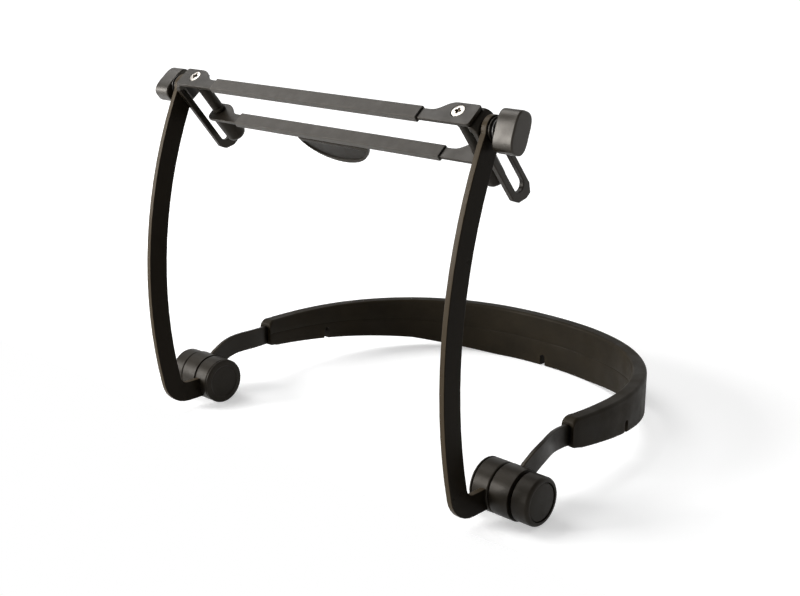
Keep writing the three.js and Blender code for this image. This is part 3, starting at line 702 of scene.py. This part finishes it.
def rounded_section(thickness, top_round, bottom_round, crease=0.0, steps=5):
    """A tall section with rounded corners, as (offset, share, lift), outer side first."""
    wide = thickness / 2
    points = [
        (wide - bottom_round + bottom_round * sine, 0, bottom_round - bottom_round * cosine)
        for sine, cosine in quarter_turn(steps)
    ]
    points += [(wide, share / 8, 0) for share in range(2, 7)]
    points += [
        (wide - top_round + top_round * cosine, 1, top_round * sine - top_round)
        for sine, cosine in quarter_turn(steps)
    ]
    inner = [(-offset, share, lift) for offset, share, lift in reversed(points)]
    if crease:
        inner = [point if point[1] != 0.5 else (crease - wide, 0.5, 0) for point in inner]
        middle = inner.index((crease - wide, 0.5, 0))
        inner.insert(middle, (-wide, 0.5, CREASE_REACH))
        inner.insert(middle + 2, (-wide, 0.5, -CREASE_REACH))
    return points + inner


class HOLDER_OT_neck_sleeve(bpy.types.Operator):
    """Models the rubber sleeve of the neck band, with its slits and open ends"""

    bl_idname = "holder.neck_sleeve"
    bl_label = "Neck sleeve"

    def execute(self, context):
        band = context.scene.holder_band
        thickness = sleeve_thickness()
        points = band_line(thickness)
        low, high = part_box("neck_sleeve")
        back = high.y - HUB_Y
        front_top = high.z - HUB_Z
        foot = low.z - HUB_Z
        knee = back - band.knee_length

        def levels(point):
            share = (point.y - band.sleeve_start) / (back - band.sleeve_start)
            top = front_top - band.top_fall * share
            if point.y < knee:
                fall = (point.y - band.sleeve_start) / (knee - band.sleeve_start)
                bottom = band.end_bottom + (-band.knee_bottom - band.end_bottom) * fall
            else:
                drop = min((point.y - knee) / (back - band.foot_depth - knee), 1)
                bottom = -band.knee_bottom + (foot + band.knee_bottom) * drop
            return bottom, top

        section = rounded_section(thickness, band.top_round, band.bottom_round, band.crease)
        stations = self.rounded_ends(stations_along(points, levels), band.end_round)
        piece = swept("neck_sleeve_rubber", stations, section)
        for end in (stations[0], stations[-1]):
            cut_away(piece, self.mouth(end, band))
        slit_y = band.sleeve_start + band.slit_distance
        slit_x = max(point.x for point in points if abs(point.y - slit_y) < 3 * MM)
        slits = ((0, back - thickness / 2, 1), (slit_x, slit_y, 0), (-slit_x, slit_y, 0))
        for x, y, through in slits:
            bottom = levels(Vector((x, y)))[0] + HUB_Z
            middle = Vector((x, y + HUB_Y, bottom))
            cut_away(piece, self.slit(middle, thickness, band, through))
        smooth(piece)
        dress(piece, "neck_sleeve")
        return {"FINISHED"}

    def rounded_ends(self, stations, radius):
        """Adds stations at both ends whose height closes in a quarter round."""
        first = self.rounded_end(stations[0], stations[1], radius)
        last = self.rounded_end(stations[-1], stations[-2], radius)
        return first + stations[2:-2] + list(reversed(last))

    def rounded_end(self, end, following, radius):
        """Stations whose height closes towards an end, more above than below."""
        bottom_share, top_share = 0.55, 0.8
        middle, across, bottom, top = end
        unit = (following[0] - middle).normalized()
        made = []
        for share in (0, 0.04, 0.12, 0.25, 0.45, 0.7, 1):
            closing = radius - math.sqrt(max(radius ** 2 - (radius * (1 - share)) ** 2, 0))
            made.append((
                middle + unit * (radius * share),
                across,
                bottom + closing * bottom_share,
                top - closing * top_share,
            ))
        return made

    def slit(self, middle, reach, band, through):
        """A cutter for a slit with a rounded top, which runs along one of the two level axes."""
        size = Vector((band.slit_width / 2, band.slit_width / 2, 0))
        size[through] = reach
        tool = block(
            "slit",
            middle - size - Vector((0, 0, band.slit_height)),
            middle + size + Vector((0, 0, band.slit_height)),
        )
        points = tool.data.vertices

        def runs_along_top(edge):
            start, end = (points[index].co for index in edge.vertices)
            return min(start.z, end.z) > middle.z and abs(start[through] - end[through]) > reach

        select_edges(tool, runs_along_top)
        bpy.ops.mesh.bevel(offset=band.slit_width * 0.45, segments=5, affect="EDGES")
        close_editing()
        return tool

    def mouth(self, end, band):
        """A cutter that opens an end of the sleeve a little way round the strip."""
        middle, across, bottom, top = end
        wide = strip_thickness() / 2 + band.mouth_room
        rim = band.mouth_rim
        tool = block(
            "mouth",
            Vector((-wide, -band.mouth_depth, bottom + rim)),
            Vector((wide, band.mouth_depth, top - rim)),
        )
        turn = Matrix.Rotation(math.atan2(across.y, across.x), 4, "Z")
        settle(tool, Matrix.Translation((middle.x, middle.y, 0)) @ turn)
        return tool


class HOLDER_OT_neck_strip(bpy.types.Operator):
    """Models the steel strip of the neck band, with an eye at each end"""

    bl_idname = "holder.neck_strip"
    bl_label = "Neck strip"

    def execute(self, context):
        band = context.scene.holder_band
        line = rising_line()
        line.append(Vector((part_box("neck_sleeve")[1].y - HUB_Y, band.strip_back)))
        upper, lower = [], []
        for i, point in enumerate(line):
            along = (line[min(i + 1, len(line) - 1)] - line[max(i - 1, 0)]).normalized()
            across = Vector((-along.y, along.x)) * band.strip_width / 2
            upper.append(point + across)
            lower.append(point - across)

        def levels(point):
            return height_at(lower, point.y), height_at(upper, point.y)

        section = rounded_section(strip_thickness(), band.strip_edge, band.strip_edge, steps=3)
        piece = swept("neck_strip_steel", stations_along(strip_line(), levels), section)
        smooth(piece)
        eye_low, eye_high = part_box("neck_strip")
        eye_radius = HUB_Y - eye_low.y
        for side, _ in SIDES:
            outline = [(eye_high.x - strip_thickness(), eye_radius), (eye_high.x, eye_radius)]
            eye = turned("eye", facing_out(side, HUB_Y, HUB_Z), outline)
            round_edges(eye, band.strip_edge)
            choose(piece)
            eye.select_set(True)
            bpy.ops.object.join()
        dress(piece, "neck_strip")
        return {"FINISHED"}


# Hubs and their knobs

def turned_pair(node, name, outline_of, edge, ringed=False):
    """Turns a piece for each side. outline_of gets its near and far end, radius and bore."""
    for _, word in SIDES:
        near, far, radius, bore, placing = across_hub(f"{node}_{word}")
        piece = turned(f"{name}_{word}", placing, outline_of(near, far, radius, bore), ringed)
        round_edges(piece, edge, bpy.context.scene.holder_edges.segments)
        dress(piece, f"{node}_{word}")


def ring(near, far, radius, bore):
    """The outline of a plain ring."""
    return [(near, bore), (near, radius), (far, radius), (far, bore), (near, bore)]


class HOLDER_OT_hubs(bpy.types.Operator):
    """Turns the two halves of each hub, with their covers, rings and washers"""

    bl_idname = "holder.hubs"
    bl_label = "Hubs"

    def execute(self, context):
        edges = context.scene.holder_edges

        def cover(near, far, radius, bore):
            rim, sunk = 3.4 * MM, 0.4 * MM
            return [
                (far, radius),
                (near + 0.5 * MM, radius),
                (near, radius - 0.9 * MM),
                (near, radius - rim),
                (near + sunk, radius - rim - sunk),
            ]

        turned_pair("hub_cap", "hub_cover", cover, edges.ring)
        turned_pair("arm_hub", "arm_hub_half", ring, edges.hub, ringed=True)
        turned_pair("friction_ring", "hub_friction_ring", ring, edges.ring, ringed=True)
        turned_pair("lock_washer", "hub_washer", ring, edges.ring, ringed=True)
        for side, word in SIDES:
            self.band_half(side, word, edges.hub, context.scene.holder_knobs.eye_room)
        return {"FINISHED"}

    def band_half(self, side, word, edge, room):
        """The half of a hub that is moulded round the strip's eye, with a way out for the strip."""
        near, far, radius, bore, placing = across_hub(f"band_hub_{word}")
        eye_low, eye_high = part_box("neck_strip")
        eye_radius = HUB_Y - eye_low.y + room
        eye_far = eye_high.x + room
        eye_near = eye_high.x - strip_thickness() - room
        piece = turned(
            f"band_hub_half_{word}",
            placing,
            [
                (near, bore), (near, radius), (far, radius), (far, bore), (eye_far, bore),
                (eye_far, eye_radius), (eye_near, eye_radius), (eye_near, bore), (near, bore),
            ],
            ringed=True,
        )
        line = rising_line()
        exit_place = next(i for i, point in enumerate(line) if point.length > eye_radius)
        middle = line[exit_place]
        ahead = line[exit_place + 1] - line[exit_place - 1]
        height = bpy.context.scene.holder_band.strip_width / 2 + room
        start, end = sorted((side * eye_near, side * eye_far))
        way_out = block(
            "way_out", Vector((start, -eye_radius / 2, -height)), Vector((end, radius, height))
        )
        outwards = Matrix.Rotation(math.atan2(ahead.y, ahead.x), 4, "X")
        settle(way_out, Matrix.Translation((0, HUB_Y + middle.x, HUB_Z + middle.y)) @ outwards)
        cut_away(piece, way_out)
        round_edges(piece, edge, 3)
        dress(piece, f"band_hub_{word}")


class HOLDER_OT_lock_knobs(bpy.types.Operator):
    """Turns the clamping knob of each hub, with its sunk face"""

    bl_idname = "holder.lock_knobs"
    bl_label = "Lock knobs"

    def execute(self, context):
        edges = context.scene.holder_edges
        knobs = context.scene.holder_knobs

        def knob(near, far, radius, bore):
            rim = radius - knobs.lock_rim
            chamfer = 0.6 * MM
            return [
                (near + knobs.pocket_depth, knobs.lock_pocket),
                (near, knobs.lock_pocket),
                (near, radius - 0.5 * MM),
                (near + chamfer, radius),
                *quarter_round(far, radius, knobs.lock_round),
                (far, rim),
                (far - knobs.lock_floor, rim),
            ]

        def cap(near, far, radius, bore):
            """A slightly domed disc: depths below its far end at shares of its radius."""
            edge = 0.6 * MM
            dome = ((0.15 * MM, 0.6), (0.1 * MM, 0.2))
            return [
                (near, radius),
                (far - edge, radius),
                (far - 0.35 * MM, radius - edge),
                *((far - depth, radius * share) for depth, share in dome),
            ]

        turned_pair("lock_knob", "lock_knob_body", knob, edges.ring)
        turned_pair("lock_knob_cap", "lock_knob_face", cap, edges.ring)
        return {"FINISHED"}


class HOLDER_OT_tilt_knobs(bpy.types.Operator):
    """Shapes the oval knob and turns the thin rings at the top of each arm"""

    bl_idname = "holder.tilt_knobs"
    bl_label = "Tilt knobs"

    def execute(self, context):
        edges = context.scene.holder_edges
        knobs = context.scene.holder_knobs

        def ribbed(near, far, radius, bore):
            waist = radius - 0.5 * MM
            third = (far - near) / 3
            return [
                (near, bore), (near, radius), (near + third, waist),
                (far - third, waist), (far, radius), (far, bore), (near, bore),
            ]

        for side, word in SIDES:
            self.grip(side, word, knobs, getattr(knobs, f"lean_{word}"))
        turned_pair("clamp_disc", "arm_clamp_disc", ring, edges.ring, ringed=True)
        turned_pair("ribbed_washer", "arm_ribbed_washer", ribbed, edges.groove, ringed=True)
        turned_pair("lock_ring", "arm_lock_ring", ring, edges.ring, ringed=True)
        return {"FINISHED"}

    def grip(self, side, word, knobs, lean):
        """An oval knob whose top leans back, with a round pocket behind."""
        node = f"tilt_knob_{word}"
        near, far, _, _, placing = across_hub(node)
        radius = knobs.tilt_length
        inner_round = [
            (near + far - distance, reach)
            for distance, reach in reversed(quarter_round(far, radius, knobs.tilt_round))
        ]
        piece = turned(
            f"tilt_knob_body_{word}",
            Matrix.Identity(4),
            [
                (near + knobs.pocket_depth, knobs.tilt_pocket),
                (near, knobs.tilt_pocket),
                *inner_round,
                *quarter_round(far, radius, knobs.tilt_round),
                (far, knobs.tilt_pocket / 2),
            ],
            segments=96,
        )
        along = Vector((-side * math.cos(lean), math.sin(lean)))
        across = Vector((side * math.sin(lean), math.cos(lean)))
        for vertex in piece.data.vertices:
            spot = Vector((vertex.co.x, vertex.co.y))
            if spot.length < knobs.tilt_pocket * 1.1:
                continue
            unit = spot.normalized()
            rim = (
                abs(unit.dot(across) / knobs.tilt_depth) ** knobs.roundness
                + abs(unit.dot(along) / knobs.tilt_length) ** knobs.roundness
            ) ** (-1 / knobs.roundness)
            spot = unit * (rim + spot.length - radius)
            vertex.co.x, vertex.co.y = spot
        settle(piece, placing)
        smooth(piece)
        dress(piece, node, "satin_plastic")


# Arms and the clamp between them

class HOLDER_OT_arms(bpy.types.Operator):
    """Rounds the edges of the two curved arms"""

    bl_idname = "holder.arms"
    bl_label = "Arms"

    def execute(self, context):
        edges = context.scene.holder_edges
        for _, word in SIDES:
            keep_shape(f"arm_{word}", f"arm_bar_{word}", edges.arm, edges.segments, "arm_lacquer")
        return {"FINISHED"}


class HOLDER_OT_bars(bpy.types.Operator):
    """Rounds the two clamping bars and models the rubber sleeves on them"""

    bl_idname = "holder.bars"
    bl_label = "Bars and sleeves"

    def execute(self, context):
        edges = context.scene.holder_edges
        for level in ("upper", "lower"):
            keep_shape(f"{level}_bar", f"{level}_clamp_bar", edges.bar, edges.segments)
            self.sleeve(f"{level}_bar_sleeve", f"{level}_rubber_sleeve", edges)
        return {"FINISHED"}

    def sleeve(self, node, name, edges):
        """A rubber tube on a bar: rounded along its length, with its ends open a little way."""
        low, high = square_on(node)
        piece = block(name, low, high)
        points = piece.data.vertices

        def runs_along_bar(edge):
            start, end = (points[index].co for index in edge.vertices)
            return start.x * end.x < 0

        select_edges(piece, runs_along_bar)
        bpy.ops.mesh.bevel(offset=edges.sleeve, segments=5, affect="EDGES")
        close_editing()
        select_faces(piece, lambda polygon: abs(polygon.normal.x) > 0.9)
        wall, taper, opening = 0.75 * MM, 0.05 * MM, 1.5 * MM
        bpy.ops.mesh.inset(thickness=wall, depth=0, use_individual=True)
        bpy.ops.mesh.inset(thickness=taper, depth=-opening, use_individual=True)
        close_editing()
        round_edges(piece, edges.mouth, 2)
        settle(piece, CRADLE_TURN)
        dress(piece, node)


class HOLDER_OT_links(bpy.types.Operator):
    """Rounds the slotted links, the studs that run in them and the thumb tab"""

    bl_idname = "holder.links"
    bl_label = "Links, studs and tab"

    def execute(self, context):
        edges = context.scene.holder_edges
        for _, word in SIDES:
            keep_shape(f"slot_link_{word}", f"slotted_link_{word}", edges.link, edges.segments)
            keep_shape(f"tilt_stud_{word}", f"tilt_stud_steel_{word}", edges.bar, edges.segments)
        keep_shape("thumb_tab", "thumb_tab_plate", edges.tab, 2)
        return {"FINISHED"}


class HOLDER_OT_screws(bpy.types.Operator):
    """Turns the clamp screws, their posts, cups and springs"""

    bl_idname = "holder.screws"
    bl_label = "Screws, posts, cups and springs"

    def execute(self, context):
        for _, word in SIDES:
            self.screw(word)
            self.post(word)
            self.cup(word)
            self.spring(word)
        return {"FINISHED"}

    def screw(self, word):
        """A countersunk screw with a cross recess."""
        bottom, top, radius, placing = along_screw(f"clamp_screw_{word}")
        shank, shank_end, head, crown = 1.9 * MM, 0.4 * MM, 1.3 * MM, 0.12 * MM
        piece = turned(
            f"cross_screw_{word}",
            Matrix.Identity(4),
            [
                (bottom, shank - shank_end),
                (bottom + shank_end, shank),
                (top - head, shank),
                (top - 0.15 * MM, radius),
                (top, radius - 0.1 * MM),
                (top + crown, radius * 0.55),
            ],
        )
        long, narrow, depth = 1.85 * MM, 0.7 * MM, 2.2 * MM
        for wide, tall in ((long, narrow), (narrow, long)):
            slot = block(
                "cross", Vector((-wide, -tall, top - depth)), Vector((wide, tall, top + depth))
            )
            cut_away(piece, slot)
        round_edges(piece, bpy.context.scene.holder_edges.screw, 2)
        settle(piece, placing)
        dress(piece, f"clamp_screw_{word}")

    def post(self, word):
        """The post between the bars, with a collar at each end."""
        bottom, top, radius, placing = along_screw(f"guide_post_{word}")
        sizes = bpy.context.scene.holder_screws
        bore, collar = sizes.post_bore, sizes.collar
        waist = radius - 0.35 * MM
        shoulder = collar + 0.4 * MM
        piece = turned(
            f"bar_post_{word}",
            placing,
            [
                (bottom, bore), (bottom, radius), (bottom + collar, radius),
                (bottom + shoulder, waist), (top - shoulder, waist),
                (top - collar, radius), (top, radius), (top, bore), (bottom, bore),
            ],
            ringed=True,
        )
        round_edges(piece, bpy.context.scene.holder_edges.post)
        dress(piece, f"guide_post_{word}")

    def cup(self, word):
        """The long cup under the lower bar, domed at its end."""
        bottom, top, radius, placing = along_screw(f"spring_cup_{word}")
        sizes = bpy.context.scene.holder_screws
        end = radius - 0.4 * MM
        dome, wall = sizes.dome, sizes.cup_wall
        outline = [(bottom, end * 0.12)]
        for sine, cosine in quarter_turn(8)[1:]:
            outline.append((bottom + dome - dome * cosine, max(end * sine, end * 0.13)))
        outline += [
            (top - 1.2 * MM, radius - 0.1 * MM),
            (top - 0.6 * MM, radius),
            (top, radius),
            (top, radius - wall),
            (bottom + dome, end - wall),
            (bottom + sizes.cup_floor, end * 0.5),
        ]
        piece = turned(f"long_cup_{word}", placing, outline)
        round_edges(piece, bpy.context.scene.holder_edges.cup, 2)
        dress(piece, f"spring_cup_{word}")

    def spring(self, word):
        """The coil spring between the cup and the nut, modelled at one length; the real spring closes up as the
        clamp opens.
        """
        bottom, top, radius, placing = along_screw(f"clamp_spring_{word}")
        sizes = bpy.context.scene.holder_screws
        wire, turns = sizes.wire, sizes.turns
        clear_selection()
        bpy.ops.mesh.primitive_circle_add(
            vertices=12,
            radius=wire,
            location=(radius - wire, 0, bottom + wire),
            rotation=(math.pi / 2, 0, 0),
        )
        piece = bpy.context.object
        piece.name = f"coil_spring_{word}"
        bpy.ops.object.transform_apply(location=True, rotation=True, scale=True)
        add_modifier(
            piece,
            "SCREW",
            axis="Z",
            steps=28,
            render_steps=28,
            iterations=turns,
            screw_offset=(top - bottom - 2 * wire) / turns,
            use_smooth_shade=True,
        )
        with editing(piece):
            bpy.ops.mesh.fill_holes(sides=0)
        tidy_mesh(piece)
        smooth(piece)
        settle(piece, placing)
        dress(piece, f"clamp_spring_{word}")
        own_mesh(piece)


class HOLDER_OT_finishes(bpy.types.Operator):
    """Makes the finishes and puts them on the pieces that keep their CAD shape"""

    bl_idname = "holder.finishes"
    bl_label = "Finishes"

    def execute(self, context):
        colours = context.scene.holder_finishes
        # The edge share makes a finish lighter along its sharp edges, from wear and a painted highlight; the dip
        # share makes it darker in its dips, from painted shade
        # Satin, with a slight orange peel, and edges lighter from wear and a painted highlight
        finishes["black_lacquer"] = new_finish(
            "Black lacquer", colours.lacquer, 0.36, specular=0.2, edge_wear_and_highlight=5,
            patches=(70, 0.22), gloss=(160, 0.30, 0.44), grain=(1100, 0.08 * MM, 0.35),
        )
        # Drawn in fine lines along the arms, with a painted highlight on their front and back edges
        finishes["arm_lacquer"] = painted_highlight_by_facing(new_finish(
            "Arm lacquer", colours.lacquer, 0.32, specular=0.04, edge_wear_and_highlight=5,
            patches=(70, 0.22), gloss=(120, 0.26, 0.38), grain=(900, 0.06 * MM, 0.4),
            stretch=(1, 2, 0.06),
        ), colours.lacquer)
        # Moulded, with a fine even grain
        finishes["black_plastic"] = new_finish(
            "Black plastic", colours.plastic, 0.38, specular=0.13, edge_wear_and_highlight=1.8, hollow_shade=0.4,
            patches=(120, 0.18), gloss=(240, 0.34, 0.46), grain=(2600, 0.05 * MM, 0.5),
        )
        # With the soft sheen of handling
        finishes["satin_plastic"] = new_finish(
            "Satin plastic", colours.plastic, 0.34, specular=0.34, edge_wear_and_highlight=2.2, hollow_shade=0.4,
            patches=(160, 0.2), gloss=(200, 0.3, 0.42), grain=(2600, 0.04 * MM, 0.4),
        )
        # Matte, with a faint bloom
        finishes["bar_rubber"] = new_finish(
            "Bar rubber", colours.bar_rubber, 0.7, specular=0.2, edge_wear_and_highlight=1.35, hollow_shade=0.6,
            patches=(260, 0.2), gloss=(180, 0.6, 0.78), grain=(3200, 0.06 * MM, 0.6),
        )
        bloom = finishes["bar_rubber"].node_tree.nodes["Principled BSDF"].inputs["Sheen Weight"]
        bloom.default_value = 0.12
        # Slightly brown, and polished in patches by wear
        finishes["neck_rubber"] = new_finish(
            "Neck rubber", colours.neck_rubber, 0.55, specular=0.08, edge_wear_and_highlight=1.9, hollow_shade=0.4,
            patches=(45, 0.3), gloss=(60, 0.44, 0.66), grain=(1500, 0.08 * MM, 0.5),
        )
        # Plated, with fine turning marks, and painted shade deep in its dips, as in the screws' cross recesses
        finishes["bright_steel"] = new_finish(
            "Bright steel", colours.bright_steel, 0.28, metallic=1, hollow_shade=0.04,
            patches=(400, 0.08), gloss=(900, 0.2, 0.36), grain=(1800, 0.02 * MM, 0.3),
            stretch=(1, 4, 4),
        )
        # A little brighter along its edges, from handling wear and a painted highlight
        finishes["black_steel"] = new_finish(
            "Black steel", colours.black_steel, 0.35, metallic=0.6, edge_wear_and_highlight=3,
            patches=(200, 0.25), gloss=(500, 0.28, 0.42), grain=(2200, 0.03 * MM, 0.3),
        )
        # Dull and turned
        finishes["brass"] = new_finish(
            "Brass", colours.brass, 0.34, metallic=1,
            patches=(300, 0.12), gloss=(700, 0.26, 0.44), grain=(1600, 0.03 * MM, 0.3),
            stretch=(6, 1, 1),
        )
        for name, node in frame["nodes"].items():
            node.data.materials.clear()
            node.data.materials.append(finishes[SLOT_OF[name]])
        return {"FINISHED"}


# Stage

# The floor's glow by distance from the middle, and where the floor clears in front of the holder
GLOW_REACH = (0.2, 1.6)
GLOW = (0.42, 0.95)
CLEAR_FROM, CLEAR_BY = -0.085, -0.105
# The seen sky darkens overhead, by the height of its direction
SKY_HEIGHT = (0.35, 0.8)
SKY = (1, 0.3)
# Each lamp: name, setting of its power, size and place. All face one place in the holder.
LAMPS = (
    ("Key lamp", "key", 0.6, (-0.85, -1.0, 0.42)),
    ("Top lamp", "top", 0.7, (-0.65, -0.17, 1.12)),
    ("Back lamp", "back", 0.9, (0.4, 1.1, 0.9)),
)
LAMPS_FACE = Vector((0, 0, 0.1))


def seen_ray(tree):
    """A socket that is 1 for what is seen, straight on or mirrored, and 0 for plain light."""
    rays = node_of(tree, "ShaderNodeLightPath", (-1100, 300)).outputs
    mirrored = calculated(
        tree, (-900, 300), "MAXIMUM", rays["Is Glossy Ray"], rays["Is Transmission Ray"]
    )
    return calculated(tree, (-700, 300), "MAXIMUM", rays["Is Camera Ray"], mirrored)


class HOLDER_OT_stage(bpy.types.Operator):
    """Lays the pale floor and sets the lamps, the surrounding light and the camera"""

    bl_idname = "holder.stage"
    bl_label = "Stage"

    def execute(self, context):
        stage = context.scene.holder_stage
        self.floor(context)
        self.world(context, stage.world)
        for name, power, size, place in LAMPS:
            self.lamp(name, getattr(stage, power), size, place)
        bpy.ops.object.camera_add(
            location=stage.place, rotation=(math.pi / 2 - stage.elevation, 0, stage.azimuth)
        )
        camera = context.object
        camera.data.sensor_width = 36
        camera.data.lens = stage.lens
        camera.data.clip_start = 0.01
        camera.data.clip_end = 50
        context.scene.camera = camera
        context.scene.view_settings.view_transform = "Standard"
        return {"FINISHED"}

    def floor(self, context):
        """The floor, which is clear in front of the holder, where lowered arms reach below it."""
        clear_selection()
        bpy.ops.mesh.primitive_plane_add(size=24, location=(0, 0, 0))
        floor = context.object
        floor.name = "pale_floor"
        material = bpy.data.materials.new("Pale floor")
        material.use_nodes = True
        tree = material.node_tree
        tree.nodes.clear()
        places = node_of(tree, "ShaderNodeTexCoord", (-1300, -400)).outputs["Object"]
        distance = node_of(
            tree, "ShaderNodeVectorMath", (-1100, -400), [(0, places)], operation="LENGTH"
        )
        whiter = ranged(tree, (-900, -400), distance.outputs["Value"], *GLOW_REACH, *GLOW)
        level = calculated(tree, (-500, -200), "MULTIPLY", seen_ray(tree), whiter)
        glow = node_of(
            tree, "ShaderNodeEmission", (-300, -200), [("Color", (1, 1, 1, 1)), ("Strength", level)]
        )
        tint = (*context.scene.holder_finishes.floor, 1)
        matte = node_of(tree, "ShaderNodeBsdfDiffuse", (-300, 0), [("Color", tint)])
        total = node_of(
            tree, "ShaderNodeAddShader", (-100, 0),
            [(0, matte.outputs["BSDF"]), (1, glow.outputs["Emission"])],
        )
        ahead = node_of(tree, "ShaderNodeSeparateXYZ", (-1100, 600), [("Vector", places)])
        opening = ranged(tree, (-900, 600), ahead.outputs["Y"], CLEAR_FROM, CLEAR_BY, 0, 1)
        path = node_of(tree, "ShaderNodeLightPath", (-900, 900))
        share = calculated(tree, (-500, 600), "MULTIPLY", opening, path.outputs["Is Camera Ray"])
        clear = node_of(tree, "ShaderNodeBsdfTransparent", (-100, 300))
        mix = node_of(
            tree, "ShaderNodeMixShader", (100, 0),
            [("Fac", share), (1, total.outputs["Shader"]), (2, clear.outputs["BSDF"])],
        )
        node_of(tree, "ShaderNodeOutputMaterial", (300, 0), [("Surface", mix.outputs["Shader"])])
        floor.data.materials.append(material)

    def world(self, context, strength):
        """Plain white light all round. What is seen of it darkens overhead."""
        world = bpy.data.worlds.new("Studio")
        context.scene.world = world
        world.use_nodes = True
        tree = world.node_tree
        tree.nodes.clear()
        white = ("Color", (1, 1, 1, 1))
        direction = node_of(tree, "ShaderNodeTexCoord", (-1100, -200)).outputs["Generated"]
        parts = node_of(tree, "ShaderNodeSeparateXYZ", (-900, -200), [("Vector", direction)])
        ceiling = ranged(tree, (-700, -200), parts.outputs["Z"], *SKY_HEIGHT, *SKY)
        light = node_of(tree, "ShaderNodeBackground", (-200, 100), [white, ("Strength", strength)])
        seen = node_of(tree, "ShaderNodeBackground", (-200, -100), [white, ("Strength", ceiling)])
        mix = node_of(
            tree, "ShaderNodeMixShader", (0, 0),
            [
                ("Fac", seen_ray(tree)),
                (1, light.outputs["Background"]),
                (2, seen.outputs["Background"]),
            ],
        )
        node_of(tree, "ShaderNodeOutputWorld", (200, 0), [("Surface", mix.outputs["Shader"])])

    def lamp(self, name, power, size, place):
        """A soft square lamp that faces the holder."""
        aim = (LAMPS_FACE - Vector(place)).to_track_quat("-Z", "Y").to_euler()
        bpy.ops.object.light_add(type="AREA", location=place, rotation=aim)
        lamp = bpy.context.object
        lamp.name = name
        lamp.data.energy = power
        lamp.data.size = size


# Panel and registration

OPERATORS = (
    HOLDER_OT_finishes,
    HOLDER_OT_neck_sleeve,
    HOLDER_OT_neck_strip,
    HOLDER_OT_hubs,
    HOLDER_OT_lock_knobs,
    HOLDER_OT_tilt_knobs,
    HOLDER_OT_arms,
    HOLDER_OT_bars,
    HOLDER_OT_links,
    HOLDER_OT_screws,
    HOLDER_OT_stage,
)
SETTINGS = {
    "holder_finishes": HOLDER_PG_finishes,
    "holder_edges": HOLDER_PG_edges,
    "holder_knobs": HOLDER_PG_knobs,
    "holder_band": HOLDER_PG_band,
    "holder_screws": HOLDER_PG_screws,
    "holder_stage": HOLDER_PG_stage,
}


class HOLDER_PT_pieces(bpy.types.Panel):
    """Lists the steps that model the holder"""

    bl_idname = "HOLDER_PT_pieces"
    bl_label = "Neck holder"
    bl_space_type = "VIEW_3D"
    bl_region_type = "UI"
    bl_category = "Holder"

    def draw(self, context):
        for operator in OPERATORS:
            self.layout.operator(operator.bl_idname)
        for name, group in SETTINGS.items():
            box = self.layout.box()
            for key in group.__annotations__:
                box.prop(getattr(context.scene, name), key)


def register():
    for group in SETTINGS.values():
        bpy.utils.register_class(group)
    for operator in OPERATORS:
        bpy.utils.register_class(operator)
    bpy.utils.register_class(HOLDER_PT_pieces)
    for name, group in SETTINGS.items():
        setattr(bpy.types.Scene, name, PointerProperty(type=group))


def unregister():
    for name in SETTINGS:
        delattr(bpy.types.Scene, name)
    bpy.utils.unregister_class(HOLDER_PT_pieces)
    for operator in reversed(OPERATORS):
        bpy.utils.unregister_class(operator)
    for group in reversed(list(SETTINGS.values())):
        bpy.utils.unregister_class(group)


def main():
    register()
    for operator in OPERATORS:
        getattr(bpy.ops.holder, operator.bl_idname.partition(".")[2])()


if __name__ == "__main__":
    main()
